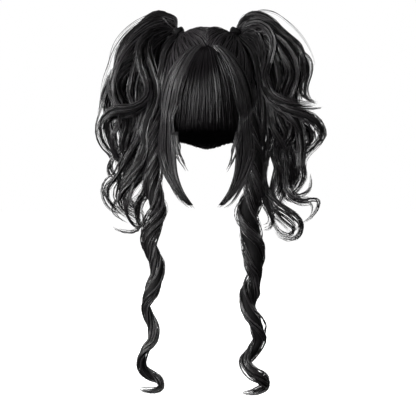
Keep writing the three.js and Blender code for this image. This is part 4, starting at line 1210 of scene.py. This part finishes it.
class WigSettings(bpy.types.PropertyGroup):
    """Sizes, amounts and colours of the wig's strands."""

    strand: bpy.props.FloatProperty(
        name="Strand", description="Half the thickness of a strand over the cap", default=0.00048,
        min=0.0001, max=0.002, unit="LENGTH", subtype="DISTANCE")
    curl_strand: bpy.props.FloatProperty(
        name="Curl Strand", description="Half the thickness of a strand in the pigtails", default=0.00056,
        min=0.0001, max=0.002, unit="LENGTH", subtype="DISTANCE")
    crown_count: bpy.props.IntProperty(
        name="Crown Strands", description="Strands combed over each side of the crown", default=620, min=50)
    fringe_count: bpy.props.IntProperty(
        name="Fringe Strands", description="Strands in the fringe", default=560, min=50)
    side_count: bpy.props.IntProperty(
        name="Side Strands", description="Strands in each side lock", default=190, min=20)
    tendril_count: bpy.props.IntProperty(
        name="Tendril Strands", description="Strands in each tendril", default=165, min=20)
    stray_count: bpy.props.IntProperty(
        name="Stray Strands", description="Loose strands that stand off each pigtail", default=46, min=0)
    seed: bpy.props.IntProperty(
        name="Seed", description="Number that fixes how the strands fall", default=7)
    dark: bpy.props.FloatVectorProperty(
        name="Dark Tone", description="The darkest tone of the fibre", subtype="COLOR",
        default=(0.0026, 0.0023, 0.0026), min=0.0, max=1.0)
    light: bpy.props.FloatVectorProperty(
        name="Light Tone", description="The lightest tone of the fibre", subtype="COLOR",
        default=(0.026, 0.0225, 0.0255), min=0.0, max=1.0)
    net: bpy.props.FloatVectorProperty(
        name="Cap Tone", description="The colour of the stretch net", subtype="COLOR",
        default=(0.03, 0.028, 0.031), min=0.0, max=1.0)


class WigStageSettings(bpy.types.PropertyGroup):
    """The floor and the camera."""

    floor_level: bpy.props.FloatProperty(
        name="Floor", description="Height of the floor", default=-0.626, unit="LENGTH", subtype="DISTANCE")
    floor_tone: bpy.props.FloatVectorProperty(
        name="Floor Tone", description="Colour of the floor", subtype="COLOR",
        default=(0.9, 0.9, 0.9), min=0.0, max=1.0)
    camera_distance: bpy.props.FloatProperty(
        name="Camera Distance", description="How far in front of the wig the camera stands", default=1.4,
        unit="LENGTH", subtype="DISTANCE")
    camera_height: bpy.props.FloatProperty(
        name="Camera Height", description="Height of the camera", default=-0.30275, unit="LENGTH",
        subtype="DISTANCE")
    camera_side: bpy.props.FloatProperty(
        name="Camera Side", description="How far right of the middle the camera stands", default=0.00175,
        unit="LENGTH", subtype="DISTANCE")
    lens: bpy.props.FloatProperty(
        name="Lens", description="Focal length", default=69.23, unit="CAMERA")


def scaled(colour, share):
    return tuple(share * c for c in colour)


def fibre(settings):
    return hair_material("Fibre", settings.dark, settings.light, roughness=0.40, specular=0.45, coat_ior=2.0)


# A shaded copy of the fibre: its light tone is cut to about half as painted shade, so the fringe reads darker
# than the rest of the hair.
def shaded_fringe_fibre(settings):
    return hair_material(
        "Shaded fringe fibre", settings.dark, scaled(settings.light, 0.52), roughness=0.24, specular=0.23)


# A lit copy of the fibre: its light tone is raised almost twofold as painted light, so the combed crown reads
# brighter than the rest of the hair.
def lit_combed_fibre(settings):
    return hair_material(
        "Combed fibre", settings.dark, scaled(settings.light, 1.9), roughness=0.42, specular=0.7, coat_ior=1.5)


# The hair layer under the strands, painted darker than the darkest strand tone as shade in the gaps between
# strands.
def shaded_under_fibre(settings):
    return hair_material(
        "Shaded under-fibre", scaled(settings.dark, 0.5), settings.dark, roughness=0.65, specular=0.15,
        fineness=60.0, length_scale=2.0, relief=0.001)


def inner_shade(settings):
    return under_material("Shaded fibre", settings.dark)


class WIG_OT_finish_cap(bpy.types.Operator):
    """Give the cap its stretch net with sewn bands"""

    bl_idname = "wig.finish_cap"
    bl_label = "Finish Cap"

    def execute(self, context):
        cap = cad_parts["cap"]
        material = net_material("Stretch net", context.scene.wig_settings.net)
        cap.data.materials.clear()
        cap.data.materials.append(material)
        return {"FINISHED"}


class WIG_OT_comb_crown(bpy.types.Operator):
    """Comb the hair of both sides from the parting and the cap's edge up to the ties"""

    bl_idname = "wig.comb_crown"
    bl_label = "Comb Crown"

    def execute(self, context):
        settings = context.scene.wig_settings
        for number, side in enumerate(SIDES):
            rng = np.random.default_rng(settings.seed + 10 + number)
            sheet = crown_sheet(side)
            bm = bmesh.new()
            mapped_grid(bm, 84, 24, lambda u, v: sheet.at(
                u, v * UNDER_END, COMBED_SINK - COMBED_ROOT_SINK * smoothstep(v, 0.75, 0.55)), closed=True)
            shell(bm, COMBED_WALL, (0.0, 0.0, -CROWN_RISE))
            under = finish_bmesh(bm, "crown_under_" + side, shaded_under_fibre(settings))
            place_piece(under, ["crown_" + side])
            strands = Strands()
            count = settings.crown_count
            ways, facings, tuft = strands_on_sheet(
                rng, sheet, count, 14, 96, (-1.6, 0.5), own_lift=0.25, tight=-0.2, drift=0.5, end_spread=0.02,
                wrap=True)
            radii = strand_radii(rng, count, 14, settings.strand * METRE, root=0.8, tip=0.7)
            strands.add(rng, ways, facings, tuft, radii, flat=0.5)
            place_piece(strands.make("crown_strands_" + side, lit_combed_fibre(settings)), ["crown_" + side])
        return {"FINISHED"}


class WIG_OT_lay_fringe(bpy.types.Operator):
    """Lay the straight fringe that fans out from the front of the parting"""

    bl_idname = "wig.lay_fringe"
    bl_label = "Lay Fringe"

    def execute(self, context):
        settings = context.scene.wig_settings
        rng = np.random.default_rng(settings.seed + 20)
        sheet = fringe_sheet()
        bm = bmesh.new()
        mapped_grid(bm, 72, 24, lambda u, v: sheet.at(u, v * UNDER_END, np.full(len(u), UNDER_SINK)))
        shell(bm, UNDER_WALL, (0.0, 0.0, -CROWN_RISE))
        place_piece(finish_bmesh(bm, "fringe_under", shaded_under_fibre(settings)), ["fringe"])
        strands = Strands()
        count = settings.fringe_count
        ways, facings, tuft = strands_on_sheet(
            rng, sheet, count, 16, 50, (-1.9, 0.1), own_lift=0.3, tight=0.35, drift=0.4, end_spread=0.045)
        radii = strand_radii(rng, count, 16, settings.strand * METRE, root=0.7, tip=0.35)
        strands.add(rng, ways, facings, tuft, radii, flat=0.5)
        place_piece(strands.make("fringe_strands", shaded_fringe_fibre(settings)), ["fringe"])
        return {"FINISHED"}


class WIG_OT_hang_side_locks(bpy.types.Operator):
    """Hang the side locks and the short wisps inside them"""

    bl_idname = "wig.hang_side_locks"
    bl_label = "Hang Side Locks"

    def add_wisp(self, wisp, rng, settings, path, broad, tip, taper_from, count, tufts, spare):
        """Adds a short flat lock that narrows from its width to a share of it at the tip."""
        way = curve_through(path, 60)
        share = np.linspace(0, 1, 60)
        width = broad * lerp(1.0, tip, smoothstep(share, taper_from, 1.0))
        facing = np.tile([0.0, -1.0, 0.0], (60, 1))
        ways, facings, tuft = strands_in_lock(
            rng, way, facing, width, width * 0.5, count, 16, tufts=tufts, spare=spare, tuft_size=0.8)
        radii = strand_radii(rng, count, 16, 0.9 * METRE * settings.strand, root=0.6, tip=0.15)
        wisp.add(rng, ways, facings, tuft, radii)

    def execute(self, context):
        settings = context.scene.wig_settings
        for number, side in enumerate(SIDES):
            rng = np.random.default_rng(settings.seed + 30 + number)
            sheet = side_sheet(side)
            bm = bmesh.new()
            mapped_grid(bm, 20, 44, lambda u, v: sheet.at(
                0.03 + 0.94 * u, v * UNDER_END, np.full(len(u), UNDER_SINK)))
            shell(bm, UNDER_WALL, (0.0, 0.0, -CROWN_RISE))
            under = finish_bmesh(bm, "side_lock_under_" + side, shaded_under_fibre(settings))
            place_piece(under, ["side_lock_" + side])
            strands = Strands()
            count = settings.side_count
            ways, facings, tuft = strands_on_sheet(
                rng, sheet, count, 26, 19, (-1.8, 0.4), own_lift=0.3, tight=0.1, drift=0.5, end_spread=0.11,
                edge_sink=1.5)
            radii = strand_radii(rng, count, 26, settings.strand * METRE, root=0.7, tip=0.25)
            strands.add(rng, ways, facings, tuft, radii, flat=0.5)
            place_piece(strands.make("side_lock_strands_" + side, fibre(settings)), ["side_lock_" + side])
            sign = SIDES[side]
            wisp, tips = Strands(), Strands()
            path = [
                (sign * (out - lean), -forward, -drop)
                for (out, forward, drop), lean in zip(CHEEK_WISP, CHEEK_LEAN[side])]
            self.add_wisp(
                wisp, rng, settings, path, broad=18.0, tip=0.2, taper_from=0.2, count=56, tufts=8, spare=0.4)
            place_piece(wisp.make("cheek_lock_strands_" + side, fibre(settings)), ["cheek_lock_" + side])
            for shift, rise in ((0.0, 0.0), (-5.5, 3.0)):
                path = [(sign * (out + shift), -forward, rise - drop) for out, drop, forward in SIDE_POINTS]
                self.add_wisp(
                    tips, rng, settings, path, broad=8.0, tip=0.25, taper_from=0.3, count=22, tufts=4,
                    spare=0.3)
            place_piece(tips.make("side_lock_points_" + side, fibre(settings)), ["side_lock_" + side])
        return {"FINISHED"}


class WIG_OT_wrap_ties(bpy.types.Operator):
    """Wrap a strand of hair round the root of each pigtail"""

    bl_idname = "wig.wrap_ties"
    bl_label = "Wrap Ties"

    def execute(self, context):
        settings = context.scene.wig_settings
        for number, side in enumerate(SIDES):
            rng = np.random.default_rng(settings.seed + 40 + number)
            axis, _, middle = tie_place(side)
            outwards, across = square_to(axis, np.array([SIDES[side], 0.0, 0.0]))
            bm = bmesh.new()
            bmesh.ops.create_circle(bm, cap_ends=False, segments=16, radius=1.0)
            place = Matrix.Translation(((TIE_RADIUS + NECK_RADIUS) / 2 - 0.7, 0.0, 0.0))
            upright = Matrix.Rotation(math.pi / 2, 4, "X")
            oval = Matrix.Diagonal(((TIE_RADIUS - NECK_RADIUS) / 2 - 1.3, TIE_LENGTH / 2 - 1.2, 1.0, 1.0))
            bmesh.ops.transform(bm, matrix=place @ upright @ oval, verts=bm.verts)
            bmesh.ops.spin(
                bm, geom=list(bm.verts) + list(bm.edges), cent=(0, 0, 0), axis=(0, 0, 1), angle=2 * math.pi,
                steps=40, use_merge=True, use_duplicate=False)
            bmesh.ops.remove_doubles(bm, verts=bm.verts, dist=0.001)
            turn = Matrix((*np.stack([outwards, across, axis, middle], 1).tolist(), (0.0, 0.0, 0.0, 1.0)))
            bmesh.ops.transform(bm, matrix=turn, verts=bm.verts)
            bmesh.ops.recalc_face_normals(bm, faces=bm.faces)
            place_piece(finish_bmesh(bm, "tie_under_" + side, inner_shade(settings)), ["tie_" + side])
            count, steps = TIE_STRANDS, TIE_STEPS
            share = np.linspace(0.0, 1.0, steps)[None, :]
            inside = rng.uniform(0, 2 * np.pi, count)[:, None]
            reach = np.sqrt(rng.uniform(0.2, 1.0, count))[:, None]
            turned = 2 * np.pi * TIE_WRAPS * share + 0.25 * rng.uniform(-1, 1, (count, 1))
            along = lerp(-TIE_LENGTH / 2 + 2.0, TIE_LENGTH / 2 - 2.0, share) + 1.2 * np.sin(turned)
            along = along + 1.7 * reach * np.sin(inside + 2.0 * share)
            bulge = 1.3 * reach * np.cos(inside + 2.0 * share)
            rim = TIE_RADIUS - 3.8 + bulge
            spoke = np.cos(turned)[..., None] * outwards + np.sin(turned)[..., None] * across
            ways = middle + along[..., None] * axis + rim[..., None] * spoke
            strands = Strands()
            radii = strand_radii(rng, count, steps, TIE_STRAND, root=0.8, tip=0.6)
            strands.add(rng, ways, spoke, np.arange(count) // 5, radii)
            place_piece(strands.make("tie_strands_" + side, fibre(settings)), ["tie_" + side])
        return {"FINISHED"}


class WIG_OT_curl_pigtails(bpy.types.Operator):
    """Curl the locks of both pigtails, in front and behind, with loose strands round them"""

    bl_idname = "wig.curl_pigtails"
    bl_label = "Curl Pigtails"

    def execute(self, context):
        settings = context.scene.wig_settings
        radius = settings.curl_strand * METRE
        for number, side in enumerate(SIDES):
            rng = np.random.default_rng(settings.seed + 50 + number)
            bm = bmesh.new()
            front, back = Strands(), Strands()
            for forward, width, count, path in TAIL_LOCKS[side]:
                way, facing, broad, deep = tail_line(side, forward, width, path)
                turns = rng.uniform(-0.6, 0.6)
                ways, facings, tuft = strands_in_lock(
                    rng, way, facing, broad, deep, count, 28, tufts=max(3, int(count / 5)), turns=turns)
                radii = strand_radii(rng, count, 28, radius, root=0.6, tip=0.25)
                front.add(rng, ways, facings, tuft, radii)
                if width >= TAIL_BODY_WIDTH:
                    pick = np.linspace(4, TAIL_POINTS - 10, 20).astype(int)
                    body = LOCK_BODY * (1.0 - smoothstep(pick / (TAIL_POINTS - 1), 0.72, 1.0))
                    bridge_rings(bm, way[pick], facing[pick], broad[pick] * body, deep[pick] * body)
                    way, facing, broad, deep = tail_line(side, forward, width, path, behind=True)
                    behind = int(count * TAIL_BACK_SHARE)
                    ways, facings, tuft = strands_in_lock(
                        rng, way, facing, broad, deep, behind, 22, tufts=max(3, int(behind / 5)),
                        turns=-turns)
                    radii = strand_radii(rng, behind, 22, radius * TAIL_BACK_STRAND, root=0.6, tip=0.25)
                    back.add(rng, ways, facings, tuft, radii)
                    bridge_rings(bm, way[pick], facing[pick], broad[pick] * body, deep[pick] * body)
            for stray in range(settings.stray_count):
                forward, width, _, path = TAIL_LOCKS[side][rng.integers(0, len(TAIL_LOCKS[side]))]
                way, facing, broad, deep = tail_line(side, forward, width, path, behind=stray % 3 == 0)
                ways, facings, tuft = strands_in_lock(
                    rng, way, facing, broad * 1.7, deep * 1.7, 1, 34, tufts=1, sway=0.3, spare=0.35)
                radii = strand_radii(rng, 1, 34, radius * 0.42, root=0.6, tip=0.2)
                front.add(rng, ways, facings, tuft, radii)
            bmesh.ops.recalc_face_normals(bm, faces=bm.faces)
            node = ["pigtail_" + side]
            place_piece(finish_bmesh(bm, "pigtail_under_" + side, inner_shade(settings)), node)
            place_piece(front.make("pigtail_front_" + side, fibre(settings)), node)
            place_piece(back.make("pigtail_back_" + side, fibre(settings)), node)
        return {"FINISHED"}


class WIG_OT_hang_tendrils(bpy.types.Operator):
    """Hang the long spiral locks down the front"""

    bl_idname = "wig.hang_tendrils"
    bl_label = "Hang Tendrils"

    def execute(self, context):
        settings = context.scene.wig_settings
        for number, side in enumerate(SIDES):
            rng = np.random.default_rng(settings.seed + 60 + number)
            way, facing, width, depth = tendril_line(side)
            bm = bmesh.new()
            pick = np.linspace(3, TENDRIL_POINTS - 10, 64).astype(int)
            body = LOCK_BODY * (1.0 - 0.7 * smoothstep(pick / (TENDRIL_POINTS - 1), 0.9, 1.0))
            bridge_rings(bm, way[pick], facing[pick], width[pick] * body, depth[pick] * body)
            bmesh.ops.recalc_face_normals(bm, faces=bm.faces)
            place_piece(finish_bmesh(bm, "tendril_under_" + side, inner_shade(settings)), ["tendril_" + side])
            strands = Strands()
            count, steps = settings.tendril_count, 72
            ways, facings, tuft = strands_in_lock(
                rng, way, facing, width, depth, count, steps, tufts=15, turns=SIDES[side] * 3.5, sway=0.05,
                loose=0.02, spare=0.05, parting=0.2, tuft_size=1.3)
            radii = strand_radii(rng, count, steps, settings.curl_strand * METRE, root=0.6, tip=0.25)
            strands.add(rng, ways, facings, tuft, radii)
            place_piece(strands.make("tendril_strands_" + side, fibre(settings)), ["tendril_" + side])
        return {"FINISHED"}


# Soft lamps: name, place, what each is aimed at, width and height, and power in watts
AREA_LIGHTS = (
    ("Key", (-1.65, -1.25, -0.08), (0.0, 0.0, -0.2), (0.9, 0.6), 56.0),
    ("Front", (-0.35, -1.9, -0.02), (0.0, 0.0, -0.1), (0.9, 0.12), 9.0),
    ("Fill", (1.5, -1.3, 0.1), (0.0, 0.0, -0.2), (0.5, 0.8), 3.2),
    ("Back left", (-1.2, 1.5, 0.6), (0.0, 0.0, -0.2), (0.6, 0.6), 20.0),
    ("Back right", (1.3, 1.5, 0.5), (0.0, 0.0, -0.2), (0.6, 0.6), 16.0),
)


def area_light(name, place, target, size, power):
    data = bpy.data.lights.new(name, "AREA")
    data.shape = "RECTANGLE"
    data.size, data.size_y = size
    data.energy = power
    lamp = bpy.data.objects.new(name, data)
    lamp.location = place
    lamp.rotation_euler = (Vector(target) - Vector(place)).to_track_quat("-Z", "Y").to_euler()
    bpy.context.scene.collection.objects.link(lamp)


class WIG_OT_set_stage(bpy.types.Operator):
    """Set the pale floor, the soft lights and the camera"""

    bl_idname = "wig.set_stage"
    bl_label = "Set Stage"

    def execute(self, context):
        stage = context.scene.wig_stage
        bm = bmesh.new()
        bmesh.ops.create_circle(bm, cap_ends=True, segments=64, radius=60.0)
        bmesh.ops.translate(bm, vec=(0.0, 0.0, stage.floor_level), verts=bm.verts)
        mesh = bpy.data.meshes.new("floor")
        bm.to_mesh(mesh)
        bm.free()
        material, nodes, link, shader = new_material("Pale floor")
        grain = add_noise(nodes, 3.0, 2.0)
        tone = add_tones(nodes, stage.floor_tone, 1.0, 0.985)
        link(grain.outputs["Fac"], tone.inputs["Factor"])
        link(tone.outputs["Result"], shader.inputs["Base Color"])
        shader.inputs["Roughness"].default_value = 0.9
        shader.inputs["Specular IOR Level"].default_value = 0.1
        shader.inputs["Emission Color"].default_value = (1.0, 1.0, 1.0, 1.0)
        shader.inputs["Emission Strength"].default_value = 0.87
        mesh.materials.append(material)
        floor = bpy.data.objects.new("floor", mesh)
        floor.visible_glossy = False
        floor.visible_diffuse = False
        context.scene.collection.objects.link(floor)

        world = bpy.data.worlds.new("Soft white")
        context.scene.world = world
        world.use_nodes = True
        nodes, link = world.node_tree.nodes, world.node_tree.links.new
        nodes.clear()
        seen, cast = nodes.new("ShaderNodeBackground"), nodes.new("ShaderNodeBackground")
        for light, strength in ((seen, 1.0), (cast, 0.06)):
            light.inputs["Color"].default_value = (1.0, 1.0, 1.0, 1.0)
            light.inputs["Strength"].default_value = strength
        ray = nodes.new("ShaderNodeLightPath")
        mix = nodes.new("ShaderNodeMixShader")
        leave = nodes.new("ShaderNodeOutputWorld")
        link(ray.outputs["Is Camera Ray"], mix.inputs[0])
        link(cast.outputs[0], mix.inputs[1])
        link(seen.outputs[0], mix.inputs[2])
        link(mix.outputs[0], leave.inputs["Surface"])

        for light in AREA_LIGHTS:
            area_light(*light)
        sky = bpy.data.lights.new("Top", "SUN")
        sky.energy = 0.55
        sky.angle = math.radians(40.0)
        lamp = bpy.data.objects.new("Top", sky)
        lamp.rotation_euler = (math.radians(20.0), math.radians(-16.0), 0.0)
        context.scene.collection.objects.link(lamp)

        data = bpy.data.cameras.new("camera")
        data.lens = stage.lens
        data.sensor_width = 36.0
        data.clip_start = 0.01
        camera = bpy.data.objects.new("camera", data)
        camera.location = (stage.camera_side, -stage.camera_distance, stage.camera_height)
        camera.rotation_euler = (math.pi / 2, 0.0, 0.0)
        context.scene.collection.objects.link(camera)
        context.scene.camera = camera
        context.scene.view_settings.view_transform = "Standard"
        return {"FINISHED"}


class WIG_PT_panel(bpy.types.Panel):
    """Shows the wig's settings and its operators in the 3D view's sidebar"""

    bl_idname = "WIG_PT_panel"
    bl_label = "Pigtail Wig"
    bl_space_type = "VIEW_3D"
    bl_region_type = "UI"
    bl_category = "Wig"

    def draw(self, context):
        layout = self.layout
        for group in (context.scene.wig_settings, context.scene.wig_stage):
            box = layout.box()
            for name in group.__class__.__annotations__:
                box.prop(group, name)
        for operator in OPERATORS:
            layout.operator(operator.bl_idname)


OPERATORS = (
    WIG_OT_finish_cap,
    WIG_OT_comb_crown,
    WIG_OT_lay_fringe,
    WIG_OT_hang_side_locks,
    WIG_OT_wrap_ties,
    WIG_OT_curl_pigtails,
    WIG_OT_hang_tendrils,
    WIG_OT_set_stage,
)
CLASSES = (WigSettings, WigStageSettings, *OPERATORS, WIG_PT_panel)


def register():
    for item in CLASSES:
        bpy.utils.register_class(item)
    bpy.types.Scene.wig_settings = bpy.props.PointerProperty(type=WigSettings)
    bpy.types.Scene.wig_stage = bpy.props.PointerProperty(type=WigStageSettings)


def unregister():
    del bpy.types.Scene.wig_stage
    del bpy.types.Scene.wig_settings
    for item in reversed(CLASSES):
        bpy.utils.unregister_class(item)


def main():
    register()
    bpy.ops.wig.finish_cap()
    bpy.ops.wig.comb_crown()
    bpy.ops.wig.lay_fringe()
    bpy.ops.wig.hang_side_locks()
    bpy.ops.wig.wrap_ties()
    bpy.ops.wig.curl_pigtails()
    bpy.ops.wig.hang_tendrils()
    bpy.ops.wig.set_stage()


if __name__ == "__main__":
    main()
